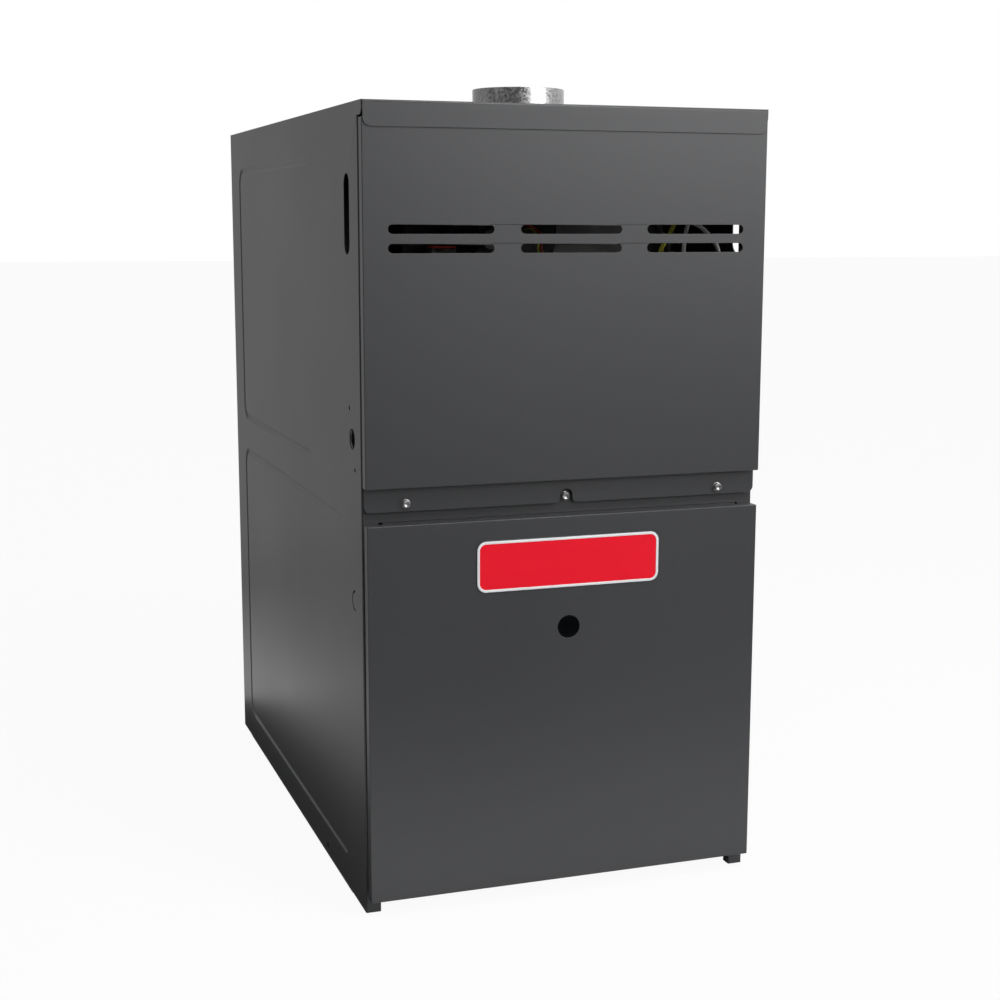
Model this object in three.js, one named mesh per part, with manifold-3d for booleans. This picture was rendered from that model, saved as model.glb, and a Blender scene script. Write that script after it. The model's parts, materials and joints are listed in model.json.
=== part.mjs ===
// Forced air gas furnace: an upflow sheet-steel cabinet with a burner compartment above a blower
// compartment, a lift-out door over each, a four-tube heat exchanger and a 4 in vent on top.
// Millimetres, +Z up, front towards -Y, origin on the floor under the middle of the whole object.
import * as THREE from "three";
import { mergeVertices } from "three/addons/utils/BufferGeometryUtils.js";
import Module from "manifold-3d";

const wasm = await Module();
wasm.setup();

// ---------------------------------------------------------------- driving dimensions
const WIDTH = 444.5; // 17 1/2 in, over the side panels
const DEPTH = 714.4; // 28 1/8 in, from the front flanges to the back
const HEIGHT = 847.7; // 33 3/8 in, from the floor to the top panel
const SHEET = 1; // cabinet steel
const CLEARANCE = 0.3; // between pieces that touch
const CUT = 2; // how far a cutter runs past the face that it opens

// Side panels; distances along the cabinet start at the front flange
const FLANGE_WIDTH = 16.5;
const FLANGE_RETURN = 13;
const BASE_FLANGE = 20;
const FOOT_LIFT = 2; // both ends of the bottom edge stand clear of the floor
const FOOT_LENGTH = 62;
const TAB_HEIGHT = 14.5; // forward tab at the top, beside the lip
const TAB_CORNER = 6;
const BEAD_WIDTH = 7;
const BEAD_DEPTH = 2;
const BEAD_CORNER = 20;
const BEAD_REAR = 64; // centre line of the bead, from the back
const UPPER_BEAD_FRONT = 239;
const UPPER_BEAD_BOTTOM = 465.5;
const UPPER_BEAD_DROP = 51.2; // its top line below the cabinet top
const LOWER_BEAD_FRONT = 87;
const LOWER_BEAD_BOTTOM = 41;
const LOWER_BEAD_TOP = 417.2;
const ENTRY_SLOT_WIDTH = 22.5; // gas pipe entry
const ENTRY_SLOT_HEIGHT = 82;
const ENTRY_SLOT_BACK = 47;
const ENTRY_SLOT_DROP = 110.2; // its middle below the cabinet top
const CONDUIT_DIAMETER = 22.2; // 7/8 in
const CONDUIT_BACK = 35.6;
const CONDUIT_Z = 507.5;
const BOX_SCREW_DIAMETER = 5;
const BOX_SCREW_BACK = 10; // from the conduit hole's axis
const BOX_SCREW_RISE = 31.5;
const KNOCKOUT_RADIUS = 11;
const KNOCKOUT_SLIT = 2.2;
const KNOCKOUT_BACK = 33;
const KNOCKOUT_Z = 336.4;
const DATUM_HOLE = 6; // small square hole near the floor
const DATUM_BACK = 178.6;
const DATUM_Z = 12.4;

// Doors
const DOOR_STANDOFF = 16.6; // door face in front of the flanges
const DOOR_RETURN = 11.6;
const LIP_GAP = 0.4; // between the lip and the door behind it
const LIP_HEIGHT = 25.8;
const LIP_CORNER = 8;
const LIP_OVERLAP = 9.5; // the upper door tucks this far up behind the lip
const UPPER_DOOR_INSET = 0.3; // each side, inside the cabinet's width
const LOWER_DOOR_INSET = 1.35;
const LOWER_DOOR_BOTTOM = 19;
const LOWER_DOOR_TOP = 423.2;
const DOOR_SPLIT = 12.5; // lower door's top to the upper door's skirt
const SKIRT_HEIGHT = 25.8;
const SKIRT_INSET = 0.8;
const SKIRT_CORNER = 7;
const NOTCH_HEIGHT = 15.2; // open slot round the middle screw
const NOTCH_RADIUS = 7.2; // of its round top
const NOTCH_CORNER = 5.4; // radius at its mouth
const LOUVRE_LENGTH = 111.4;
const LOUVRE_HEIGHT = 9.4;
const LOUVRE_PITCH_X = 140.2;
const LOUVRE_PITCH_Z = 19.1;
const LOUVRE_COLUMNS = 3;
const LOUVRE_ROWS = 2;
const LOUVRE_TOP_DROP = 125.3; // top row's centre line below the cabinet top
const SIGHT_DIAMETER = 25;
const SIGHT_Z = 302.7;
const SIGHT_RIM = 4;
const PLATE_WIDTH = 208.7;
const PLATE_HEIGHT = 56.5;
const PLATE_Z = 373.6;
const PLATE_THICK = 1.2;
const PLATE_CORNER = 11;

// Rail between the doors, and its screws
const RAIL_HEIGHT = 56;
const RAIL_TOP = 18.3; // above the skirt's lower edge
const RAIL_SHELF = 32; // depth of its top flange, which carries the deck
const RAIL_UNDERFOLD = 18;
const DOOR_SCREW_RISE = 8.3; // the same for the screws
const RAIL_SCREW_RISE = 6.6;
const SCREW_INSET = 45.25; // outer screws, from the cabinet's side
const SCREW_HEX = 7.94; // 5/16 in across flats
const SCREW_HEAD = 4.6;
const SCREW_WASHER = 10;
const SCREW_WASHER_THICK = 0.9;
const SCREW_SHANK = 4.8;
const SCREW_LENGTH = 11;
const SCREW_PLAY = 1.6; // the rail's holes round the door screws
const TAB_SLOT_INSET = 17.25; // ends of the rail's slot, from the cabinet's side
const TAB_SLOT_HEIGHT = 2.6;
const TAB_END_PLAY = 4;
const TAB_REACH = 10; // behind the front flanges

// Deck, base and top
const BASE_SETBACK = 31;
const BASE_KERB = 16;
const RETURN_WIDTH = 356; // 14 in bottom return opening
const RETURN_MARGIN = 62; // front and back of it
const DECK_FOLD = 12;
const WIRE_HOLE = 24;
const WIRE_HOLE_SIDE = 29.25; // from the outer burner's axis
const WIRE_HOLE_BACK = 54; // behind the front flanges
const SUPPLY_MARGIN = 19; // plenum flange at the sides and the back
const SUPPLY_FRONT = 14; // behind the vestibule panel
const SUPPLY_FOLD = 12;
const INSULATION = 12;

// Heat exchanger
const VESTIBULE = 205; // burner compartment's depth
const VESTIBULE_FOLD = 12;
const TUBES = 4;
const TUBE_PITCH = 84;
const FIRST_PASS = 22; // tube radii
const LAST_PASS = 17.5;
const TUBE_WALL = 1.2;
const TUBE_SIDES = 8;
const BEND_STEPS = 5;
const TUBE_END = 1.6; // flared ends stand out of the vestibule panel
const BURNER_RISE = 65; // burner axis above the deck
const REAR_ROOM = 12; // from the rear bends to the insulation
const FRONT_ROOM = 8; // from the front bend to the vestibule panel
const SADDLE_FROM_BENDS = 40;
const SADDLE_WIDTH = 20;
const SADDLE_SHEET = 1.2;

// Vent and inducer
const VENT_DIAMETER = 101.6; // 4 in
const VENT_RISE = 26; // above the top panel
const VENT_BACK = 150.7;
const VENT_WALL = 0.8;
const VENT_HOLE_PLAY = 1.5;
const VENT_PLATE_DROP = 46; // vent's foot plate below the cabinet top
const VENT_PLATE = 106; // square
const FAN_SHEET = 1.2;
const SCROLL_CUTOFF = 66;
const SCROLL_FULL = 98;
const SCROLL_CUTOFF_ANGLE = 55;
const SCROLL_DEPTH = 62;
const SCROLL_DROP = 90; // wheel axis below the vent's foot plate
const SCROLL_INLET = 38;
const COLLECTOR_HEIGHT = 96;
const COLLECTOR_DEPTH = 35;
const COLLECTOR_SIDE = 30; // past the outer tubes' axes
const INDUCER_WHEEL = 57; // radius
const INDUCER_WIDTH = 44;
const INDUCER_BLADES = 10;
const INDUCER_SHAFT = 4; // radius
const INDUCER_PLAY = 1; // round the shaft
const INDUCER_MOTOR = 40; // radius
const INDUCER_MOTOR_LENGTH = 52;
const INDUCER_STACK = 72;
const COOLING_FAN = 33; // radius
const COOLING_FAN_GAP = 5;
const COOLING_BLADES = 6;

// Burners and gas train
const BURNER_LENGTH = 120;
const BURNER_HEAD = 19; // radii
const BURNER_TUBE = 14;
const BURNER_THROAT = 9.5;
const BURNER_BELL = 17;
const BURNER_WALL = 1.2;
const FLAME_GAP = 14; // burner heads to the vestibule panel
const RACK_FORWARD = 70; // rack plate in front of the vestibule panel
const RACK_SHEET = 1.2;
const RACK_TOP = 80; // above the burner axis
const RACK_BOTTOM = 26; // below it
const RACK_SIDE = 42; // past the outer burner axes
const MANIFOLD_RADIUS = 10.7; // 1/2 in pipe
const MANIFOLD_GAP = 14; // to the burner bells
const SPUD_RADIUS = 5;
const SPUD_REACH = 5; // into the bells
const VALVE_WIDTH = 76;
const VALVE_DEPTH = 74;
const VALVE_HEIGHT = 66;
const VALVE_RISE = 34; // above the manifold's axis
const VALVE_X = -116;
const VALVE_PORT = 17;
const KNOB_RADIUS = 14;
const KNOB_LENGTH = 13;
const SWITCH_RADIUS = 9;
const SWITCH_LENGTH = 8;
const SWITCH_RISE = 62; // above the burner axis
const RESET_RADIUS = 2.5;
const RESET_OUT = 4;
const RESET_IN = 3.5;
const RESET_TRAVEL = 1.5;
const LIMIT_DROP = 35.4; // below the collector box
const LIMIT_RADIUS = 12;
const LIMIT_PROBE = 9; // radius of its tube, which passes the vestibule panel
const PRESSURE_RADIUS = 29;
const PRESSURE_DEPTH = 28;
const PRESSURE_SIDE = 6.25; // from its rim to the right side panel
const PRESSURE_DROP = 31.4; // its axis below the collector box
const HOSE_RADIUS = 3.6;

// Junction box, on the left side panel
const BOX_DEPTH = 62;
const BOX_HEIGHT = 84;
const BOX_SHEET = 1.2;
const BOX_LENGTH = 48; // away from the side panel

// Blower
const BLOWER_WIDTH = 240;
const BLOWER_SHEET = 1;
const BLOWER_BACK = 372;
const BLOWER_DROP = 239; // wheel axis below the deck
const BLOWER_CUTOFF = 140;
const BLOWER_FULL = 212;
const BLOWER_CUTOFF_ANGLE = 80;
const BLOWER_INLET = 108; // radius
const BLOWER_FLANGE = 15;
const WHEEL_RADIUS = 127;
const WHEEL_WIDTH = 203;
const WHEEL_RIM = 4;
const WHEEL_BLADES = 16;
const BLADE_DEPTH = 17;
const BLADE_SHEET = 1.6;
const HUB_RADIUS = 15;
const HUB_LENGTH = 36;
const SHAFT_RADIUS = 6.35; // 1/2 in
const SHAFT_PLAY = 0.5;
const MOTOR_RADIUS = 70;
const MOTOR_LENGTH = 118;
const MOTOR_FROM_HUB = 8;
const BAND_WIDTH = 24;
const BAND_SHEET = 2;
const ARM_WIDTH = 22;
const ARM_LENGTH = 64; // outwards from the band
const ARMS = 3;
const CAPACITOR_RADIUS = 22;
const CAPACITOR_LENGTH = 80;

// Controls
const PANEL_BACK = 70;
const PANEL_HEIGHT = 228;
const PANEL_WIDTH = 246;
const PANEL_SIDE_GAP = 17; // to the right side panel
const PANEL_FOLD = 16;
const BOARD_WIDTH = 152;
const BOARD_HEIGHT = 120;
const BOARD_THICK = 1.6;
const BOARD_STANDOFF = 9;
const BOARD_MARGIN = 14; // from the panel's right and top edges
const TRANSFORMER = 56;
const DOOR_SWITCH_X = -156;
const DOOR_SWITCH_HEIGHT = 30;
const DOOR_SWITCH_WIDTH = 16;
const DOOR_SWITCH_LENGTH = 30;
const PLUNGER_RADIUS = 3;
const PLUNGER_PLAY = 0.4;
const PLUNGER_TRAVEL = 3;
const PLUNGER_INSIDE = 8;

// ---------------------------------------------------------------- levels that several pieces share
const sideX = WIDTH / 2;
const innerX = sideX - SHEET;
const fitX = innerX - CLEARANCE; // half width of whatever fits between the side panels
const lipProud = DOOR_STANDOFF + LIP_GAP + SHEET;
const frontY = (lipProud - DEPTH) / 2; // front face of the side panels' flanges
const backY = frontY + DEPTH;
const lipY = frontY - lipProud;
const doorY = frontY - DOOR_STANDOFF; // front face of both doors
const doorBackY = doorY + SHEET;
const lipBottom = HEIGHT - LIP_HEIGHT;
const skirtBottom = LOWER_DOOR_TOP + DOOR_SPLIT;
const upperDoorBottom = skirtBottom + SKIRT_HEIGHT;
const doorScrewZ = skirtBottom + DOOR_SCREW_RISE;
const railScrewZ = skirtBottom + RAIL_SCREW_RISE;
const railTop = skirtBottom + RAIL_TOP;
const railBottom = railTop - RAIL_HEIGHT;
const railBackY = frontY - CLEARANCE;
const railY = railBackY - SHEET;
const skirtBackY = doorY + DOOR_RETURN;
const skirtY = skirtBackY - SHEET;
const deckBottom = railTop + CLEARANCE;
const deckTop = deckBottom + SHEET;
const plateUnder = HEIGHT - SHEET; // underside of the top panel
const backPanelBackY = backY - SHEET - CLEARANCE;
const backPanelY = backPanelBackY - SHEET;
const vestibuleY = frontY + VESTIBULE;
const beadInside = BEAD_DEPTH + SHEET;
const burnerZ = deckTop + BURNER_RISE;
const ventY = frontY + VENT_BACK;
const ventPlateZ = HEIGHT - VENT_PLATE_DROP;
const inducerZ = ventPlateZ - SCROLL_DROP;
const scrollRight = SCROLL_FULL;
const scrollLeft = SCROLL_CUTOFF * Math.cos(THREE.MathUtils.degToRad(SCROLL_CUTOFF_ANGLE));
const inducerX = -(scrollLeft + scrollRight) / 2; // the outlet is centred under the vent
const collectorBottom = inducerZ - COLLECTOR_HEIGHT / 2;
const limitZ = collectorBottom - LIMIT_DROP;
const collectorY = vestibuleY - CLEARANCE - COLLECTOR_DEPTH;
const scrollBackY = collectorY - CLEARANCE;
const scrollY = scrollBackY - SCROLL_DEPTH;
const motorBackY = scrollY - CLEARANCE;
const motorY = motorBackY - INDUCER_MOTOR_LENGTH;
const outletPassZ = inducerZ;
const blowerY = frontY + BLOWER_BACK;
const blowerZ = deckBottom - BLOWER_DROP;
const blowerTop = deckBottom - CLEARANCE;
const blowerHalf = BLOWER_WIDTH / 2;
const cutoffY = blowerY + BLOWER_CUTOFF * Math.cos(THREE.MathUtils.degToRad(BLOWER_CUTOFF_ANGLE));
const tubeXs = Array.from({ length: TUBES }, (_, i) => (i - (TUBES - 1) / 2) * TUBE_PITCH);
const outerTube = tubeXs[TUBES - 1];
const burnerBackY = vestibuleY - FLAME_GAP;
const burnerFrontY = burnerBackY - BURNER_LENGTH;
const rackY = vestibuleY - RACK_FORWARD;
const manifoldY = burnerFrontY - MANIFOLD_GAP - MANIFOLD_RADIUS;

// ---------------------------------------------------------------- shapes
const AXIS = {
  x: new THREE.Matrix4().set(0, 0, 1, 0, 1, 0, 0, 0, 0, 1, 0, 0, 0, 0, 0, 1), // outline in Y, Z
  y: new THREE.Matrix4().set(1, 0, 0, 0, 0, 0, 1, 0, 0, 1, 0, 0, 0, 0, 0, 1), // outline in X, Z
  z: new THREE.Matrix4(), // outline in X, Y
};
const TURNED = {
  x: new THREE.Matrix4().set(0, 1, 0, 0, 0, 0, 1, 0, 1, 0, 0, 0, 0, 0, 0, 1),
  y: new THREE.Matrix4(),
  z: new THREE.Matrix4().set(1, 0, 0, 0, 0, 0, -1, 0, 0, 1, 0, 0, 0, 0, 0, 1),
};

// A closed geometry as a solid for joining and cutting, its faces turned outwards.
function toSolid(geometry, matrix = new THREE.Matrix4()) {
  const bare = geometry.clone().applyMatrix4(matrix);
  bare.deleteAttribute("normal");
  bare.deleteAttribute("uv");
  const merged = mergeVertices(bare, 1e-4);
  const ids = merged.index.array;
  const kept = [];
  for (let i = 0; i < ids.length; i += 3) {
    const [a, b, c] = [ids[i], ids[i + 1], ids[i + 2]];
    if (a !== b && b !== c && c !== a) kept.push(a, b, c);
  }
  const build = (list) =>
    new wasm.Manifold(
      new wasm.Mesh({
        numProp: 3,
        vertProperties: new Float32Array(merged.attributes.position.array),
        triVerts: new Uint32Array(list),
      }),
    );
  const made = build(kept);
  if (made.volume() > 0) return made;
  return build(kept.map((_, i) => kept[i - (i % 3) + [0, 2, 1][i % 3]]));
}

function block(x0, x1, y0, y1, z0, z1) {
  const box = new THREE.BoxGeometry(x1 - x0, y1 - y0, z1 - z0);
  box.translate((x0 + x1) / 2, (y0 + y1) / 2, (z0 + z1) / 2);
  return toSolid(box);
}

// Points along an arc, in degrees; outlines are made of these and of straight runs between them.
function arc(u, v, radius, from, to, steps) {
  return Array.from({ length: steps + 1 }, (_, i) => {
    const angle = THREE.MathUtils.degToRad(from + ((to - from) * i) / steps);
    return new THREE.Vector2(u + radius * Math.cos(angle), v + radius * Math.sin(angle));
  });
}

function outline(points) {
  const apart = (p, i) => p.distanceTo(points[(i + 1) % points.length]) > 1e-4;
  return new THREE.Shape(points.filter(apart));
}

const disc = (u, v, radius, sides) => outline(arc(u, v, radius, 0, 360 - 360 / sides, sides - 1));

function roundRect(u0, u1, v0, v1, radius, steps = 3) {
  return outline([
    ...arc(u1 - radius, v0 + radius, radius, -90, 0, steps),
    ...arc(u1 - radius, v1 - radius, radius, 0, 90, steps),
    ...arc(u0 + radius, v1 - radius, radius, 90, 180, steps),
    ...arc(u0 + radius, v0 + radius, radius, 180, 270, steps),
  ]);
}

// A slot with round ends, given by its centre and its two sizes.
function obround(u, v, width, height, steps = 4) {
  const radius = Math.min(width, height) / 2;
  return roundRect(u - width / 2, u + width / 2, v - height / 2, v + height / 2, radius, steps);
}

function prism(axis, shape, from, to) {
  const extruded = new THREE.ExtrudeGeometry(shape, { depth: to - from, bevelEnabled: false });
  extruded.translate(0, 0, from);
  return toSolid(extruded, AXIS[axis]);
}

// Radius of a many-sided hole that a round piece passes through with the clearance all round.
const holeFor = (radius, sides) => (radius + CLEARANCE) / Math.cos(Math.PI / sides);
const rod = (axis, u, v, radius, from, to, sides = 16) => prism(axis, disc(u, v, radius, sides), from, to);

// A turned piece: pairs of radius and place along the axis, from axis to axis or closed on itself.
function turned(axis, profile, sides) {
  const points = profile.map(([radius, along]) => new THREE.Vector2(radius, along));
  return toSolid(new THREE.LatheGeometry(points, sides), TURNED[axis]);
}

// A tube through stations { at, radius }: solid, or a pipe open at both ends where it has a wall.
function sweep(stations, sides, wall = 0) {
  const at = stations.map((s) => s.at);
  const unit = (a, b) => b.clone().sub(a).normalize();
  const along = at.map((p, i) => {
    const before = i > 0 ? unit(at[i - 1], p) : new THREE.Vector3();
    const after = i < at.length - 1 ? unit(p, at[i + 1]) : new THREE.Vector3();
    return before.add(after).normalize();
  });
  const first = along[0];
  const helper = Math.abs(first.x) < 0.9 ? new THREE.Vector3(1, 0, 0) : new THREE.Vector3(0, 1, 0);
  let normal = helper.cross(first).normalize();
  const positions = [];
  const ring = (i, radius) => {
    const binormal = along[i].clone().cross(normal);
    for (let k = 0; k < sides; k++) {
      const angle = (2 * Math.PI * (k + 0.5)) / sides;
      const p = at[i].clone().addScaledVector(normal, radius * Math.cos(angle));
      p.addScaledVector(binormal, radius * Math.sin(angle));
      positions.push(p.x, p.y, p.z);
    }
  };
  stations.forEach((s, i) => {
    normal = normal.clone().addScaledVector(along[i], -normal.dot(along[i])).normalize();
    ring(i, s.radius);
    if (wall) ring(i, s.radius - wall);
  });
  const rings = wall ? 2 : 1;
  const id = (i, layer, k) => (i * rings + layer) * sides + (k % sides);
  const index = [];
  const quad = (a, b, c, d) => index.push(a, b, c, a, c, d);
  const last = stations.length - 1;
  for (let k = 0; k < sides; k++) {
    for (let i = 0; i < last; i++) {
      quad(id(i, 0, k), id(i, 0, k + 1), id(i + 1, 0, k + 1), id(i + 1, 0, k));
      if (wall) quad(id(i, 1, k + 1), id(i, 1, k), id(i + 1, 1, k), id(i + 1, 1, k + 1));
    }
    if (wall) {
      quad(id(0, 1, k), id(0, 1, k + 1), id(0, 0, k + 1), id(0, 0, k));
      quad(id(last, 0, k), id(last, 0, k + 1), id(last, 1, k + 1), id(last, 1, k));
    } else if (k > 0 && k < sides - 1) {
      index.push(id(0, 0, 0), id(0, 0, k + 1), id(0, 0, k));
      index.push(id(last, 0, 0), id(last, 0, k), id(last, 0, k + 1));
    }
  }
  const geometry = new THREE.BufferGeometry();
  geometry.setAttribute("position", new THREE.Float32BufferAttribute(positions, 3));
  geometry.setIndex(index);
  return toSolid(geometry);
}

// A round lead or hose along points chosen by hand.
function lead(points, radius, sides = 6, steps = 2) {
  const curve = new THREE.CatmullRomCurve3(points.map((p) => new THREE.Vector3(...p)));
  const count = (points.length - 1) * steps;
  const stations = Array.from({ length: count + 1 }, (_, i) => ({ at: curve.getPoint(i / count), radius }));
  return sweep(stations, sides);
}

const join = (...solids) => solids.reduce((a, b) => a.add(b));
const cut = (base, ...cutters) => cutters.reduce((a, b) => a.subtract(b), base);

// ---------------------------------------------------------------- finishes
const finish = (color, roughness, metalness) =>
  new THREE.MeshStandardMaterial({ color, roughness, metalness });
const paint = finish(0x4a4b4d, 0.45, 0.2);
const galvanised = finish(0xa8abac, 0.42, 0.85);
const zinc = finish(0xc2c4c2, 0.3, 0.95);
const aluminised = finish(0x9b9c9a, 0.5, 0.85);
const blackPaint = finish(0x17181a, 0.5, 0.1);
const blackPlastic = finish(0x1c1c1e, 0.5, 0);
const redPlastic = finish(0xc9202f, 0.35, 0);
const plateRed = finish(0xe72633, 0.3, 0);
const ceramic = finish(0xd9d5ca, 0.7, 0);
const boardGreen = finish(0x1f5b36, 0.5, 0);
const castAluminium = finish(0xa4a6a8, 0.5, 0.8);
const rubberHose = finish(0x5f5c5a, 0.7, 0);
const yellowWire = finish(0xb9b52d, 0.5, 0);
const foil = finish(0xb8b9b7, 0.4, 0.7);
const smokedGlass = finish(0x0d0e10, 0.1, 0);

const furnace = new THREE.Group();
const cabinet = new THREE.Group();
const combustion = new THREE.Group();
const airside = new THREE.Group();
const controls = new THREE.Group();
const doors = new THREE.Group();
furnace.add(cabinet, combustion, airside, controls, doors);

function place(group, name, solid, material, position = [0, 0, 0]) {
  const data = solid.getMesh();
  const geometry = new THREE.BufferGeometry();
  geometry.setAttribute("position", new THREE.BufferAttribute(new Float32Array(data.vertProperties), 3));
  geometry.setIndex(new THREE.BufferAttribute(new Uint32Array(data.triVerts), 1));
  const mesh = new THREE.Mesh(geometry, material);
  mesh.name = name;
  mesh.position.set(...position);
  group.add(mesh);
}

// ---------------------------------------------------------------- cabinet
// A pressed bead: a C open to the front, followed at half its width on either side of the line.
function bead(front, bottom, top, half) {
  const y0 = frontY + front;
  const y1 = backY - BEAD_REAR - BEAD_CORNER;
  const corner = (z, radius, from, to) => arc(y1, z, radius, from, to, 3);
  const upper = top - BEAD_CORNER;
  const lower = bottom + BEAD_CORNER;
  return outline([
    ...corner(upper, BEAD_CORNER + half, 90, 0),
    ...corner(lower, BEAD_CORNER + half, 0, -90),
    ...arc(y0, bottom, half, 270, 90, 3),
    ...corner(lower, BEAD_CORNER - half, -90, 0),
    ...corner(upper, BEAD_CORNER - half, 0, 90),
    ...arc(y0, top, half, 270, 90, 3),
  ]);
}

// side is -1 for the left panel and 1 for the right one; d runs inwards from the outer face.
function sidePanel(side) {
  const range = (d0, d1) => (side < 0 ? [d0 - sideX, d1 - sideX] : [sideX - d1, sideX - d0]);
  const slab = (d0, d1, y0, y1, z0, z1) => block(...range(d0, d1), y0, y1, z0, z1);
  const sheet = (shape, d0 = 0, d1 = SHEET) => prism("x", shape, ...range(d0, d1));
  const hole = (shape) => sheet(shape, -CUT, SHEET + CUT);
  const tabBottom = HEIGHT - TAB_HEIGHT;
  const tabY = frontY - DOOR_STANDOFF;
  const skin = outline([
    new THREE.Vector2(frontY, FOOT_LIFT),
    new THREE.Vector2(frontY + FOOT_LENGTH, FOOT_LIFT),
    new THREE.Vector2(frontY + FOOT_LENGTH, 0),
    new THREE.Vector2(backY - FOOT_LENGTH, 0),
    new THREE.Vector2(backY - FOOT_LENGTH, FOOT_LIFT),
    new THREE.Vector2(backY, FOOT_LIFT),
    new THREE.Vector2(backY, HEIGHT),
    new THREE.Vector2(tabY, HEIGHT),
    ...arc(tabY + TAB_CORNER, tabBottom + TAB_CORNER, TAB_CORNER, 180, 270, 3),
    new THREE.Vector2(frontY, tabBottom),
  ]);
  const beads = [
    [UPPER_BEAD_FRONT, UPPER_BEAD_BOTTOM, HEIGHT - UPPER_BEAD_DROP],
    [LOWER_BEAD_FRONT, LOWER_BEAD_BOTTOM, LOWER_BEAD_TOP],
  ];
  const ridges = beads.map((b) => sheet(bead(...b, BEAD_WIDTH / 2 + SHEET), SHEET / 2, beadInside));
  const grooves = beads.map((b) => sheet(bead(...b, BEAD_WIDTH / 2), -CUT, BEAD_DEPTH));
  const flangeTop = plateUnder - CLEARANCE;
  const conduitY = frontY + CONDUIT_BACK;
  const boxHole = (sign) =>
    disc(conduitY + sign * BOX_SCREW_BACK, CONDUIT_Z + sign * BOX_SCREW_RISE, BOX_SCREW_DIAMETER / 2, 8);
  const knockout = [frontY + KNOCKOUT_BACK, KNOCKOUT_Z];
  const crescent = outline([
    ...arc(...knockout, KNOCKOUT_RADIUS, -100, 100, 8),
    ...arc(...knockout, KNOCKOUT_RADIUS - KNOCKOUT_SLIT, 100, -100, 8),
  ]);
  const datum = [frontY + DATUM_BACK - DATUM_HOLE / 2, frontY + DATUM_BACK + DATUM_HOLE / 2];
  return cut(
    join(
      sheet(skin),
      slab(0, FLANGE_WIDTH, frontY, frontY + SHEET, FOOT_LIFT, flangeTop),
      slab(FLANGE_WIDTH - SHEET, FLANGE_WIDTH, frontY, frontY + FLANGE_RETURN, FOOT_LIFT, flangeTop),
      slab(0, FLANGE_WIDTH, backY - SHEET, backY, FOOT_LIFT, flangeTop),
      slab(0, BASE_FLANGE, frontY + FOOT_LENGTH, backY - FOOT_LENGTH, 0, SHEET),
      ...ridges,
    ),
    ...grooves,
    hole(obround(frontY + ENTRY_SLOT_BACK, HEIGHT - ENTRY_SLOT_DROP, ENTRY_SLOT_WIDTH, ENTRY_SLOT_HEIGHT)),
    hole(disc(conduitY, CONDUIT_Z, CONDUIT_DIAMETER / 2, 16)),
    hole(boxHole(1)),
    hole(boxHole(-1)),
    hole(crescent),
    slab(-CUT, SHEET + CUT, ...datum, DATUM_Z - DATUM_HOLE / 2, DATUM_Z + DATUM_HOLE / 2),
  );
}

place(cabinet, "left_side_panel", sidePanel(-1), paint);
place(cabinet, "right_side_panel", sidePanel(1), paint);

const backPanel = block(-fitX, fitX, backPanelY, backPanelBackY, FOOT_LIFT, plateUnder - CLEARANCE);
place(cabinet, "back_panel", backPanel, paint);

// A ring of four walls folded down round a rectangular opening.
function foldedRim(x0, x1, y0, y1, z0, z1, sheet) {
  return cut(
    block(x0 - sheet, x1 + sheet, y0 - sheet, y1 + sheet, z0, z1),
    block(x0, x1, y0, y1, z0 - CUT, z1 + CUT),
  );
}

const supply = {
  x: sideX - SUPPLY_MARGIN,
  y0: vestibuleY + SHEET + SUPPLY_FRONT,
  y1: backY - SUPPLY_MARGIN,
};

function topPanel() {
  const corner = (x, from) => arc(x, lipBottom + LIP_CORNER, LIP_CORNER, from, from + 90, 3);
  const lip = outline([
    ...corner(LIP_CORNER - fitX, 180),
    ...corner(fitX - LIP_CORNER, 270),
    new THREE.Vector2(fitX, HEIGHT),
    new THREE.Vector2(-fitX, HEIGHT),
  ]);
  const { x, y0, y1 } = supply;
  return cut(
    join(
      block(-fitX, fitX, lipY, backY, plateUnder, HEIGHT),
      prism("y", lip, lipY, lipY + SHEET),
      foldedRim(-x, x, y0, y1, plateUnder - SUPPLY_FOLD, HEIGHT, SHEET),
    ),
    block(-x, x, y0, y1, plateUnder - SUPPLY_FOLD - CUT, HEIGHT + CUT),
    rod("z", 0, ventY, VENT_DIAMETER / 2 + VENT_HOLE_PLAY, plateUnder - CUT, HEIGHT + CUT, 28),
  );
}
place(cabinet, "top_panel", topPanel(), paint);

const slotHalf = sideX - TAB_SLOT_INSET;
const slotBottom = LOWER_DOOR_TOP - SHEET - CLEARANCE;
const screwXs = [SCREW_INSET - sideX, 0, sideX - SCREW_INSET];

function rail() {
  const slot = roundRect(-slotHalf, slotHalf, slotBottom, slotBottom + TAB_SLOT_HEIGHT, 1, 1);
  const shelfX = sideX - FLANGE_WIDTH - CLEARANCE;
  const hole = (x, z, play) => rod("y", x, z, SCREW_SHANK / 2 + play, railY - CUT, frontY + CUT, 12);
  return cut(
    join(
      block(-fitX, fitX, railY, railBackY, railBottom, railTop),
      block(-shelfX, shelfX, railY, frontY + RAIL_SHELF, railTop - SHEET, railTop),
      block(-shelfX, shelfX, railY, frontY + RAIL_UNDERFOLD, railBottom, railBottom + SHEET),
    ),
    prism("y", slot, railY - CUT, frontY),
    hole(screwXs[0], doorScrewZ, SCREW_PLAY),
    hole(screwXs[1], railScrewZ, CLEARANCE),
    hole(screwXs[2], doorScrewZ, SCREW_PLAY),
  );
}
place(cabinet, "door_rail", rail(), paint);

const outletY = [cutoffY, blowerY + BLOWER_FULL];
const wireHoleX = outerTube + WIRE_HOLE_SIDE;
const wireHoleY = frontY + WIRE_HOLE_BACK;

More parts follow.
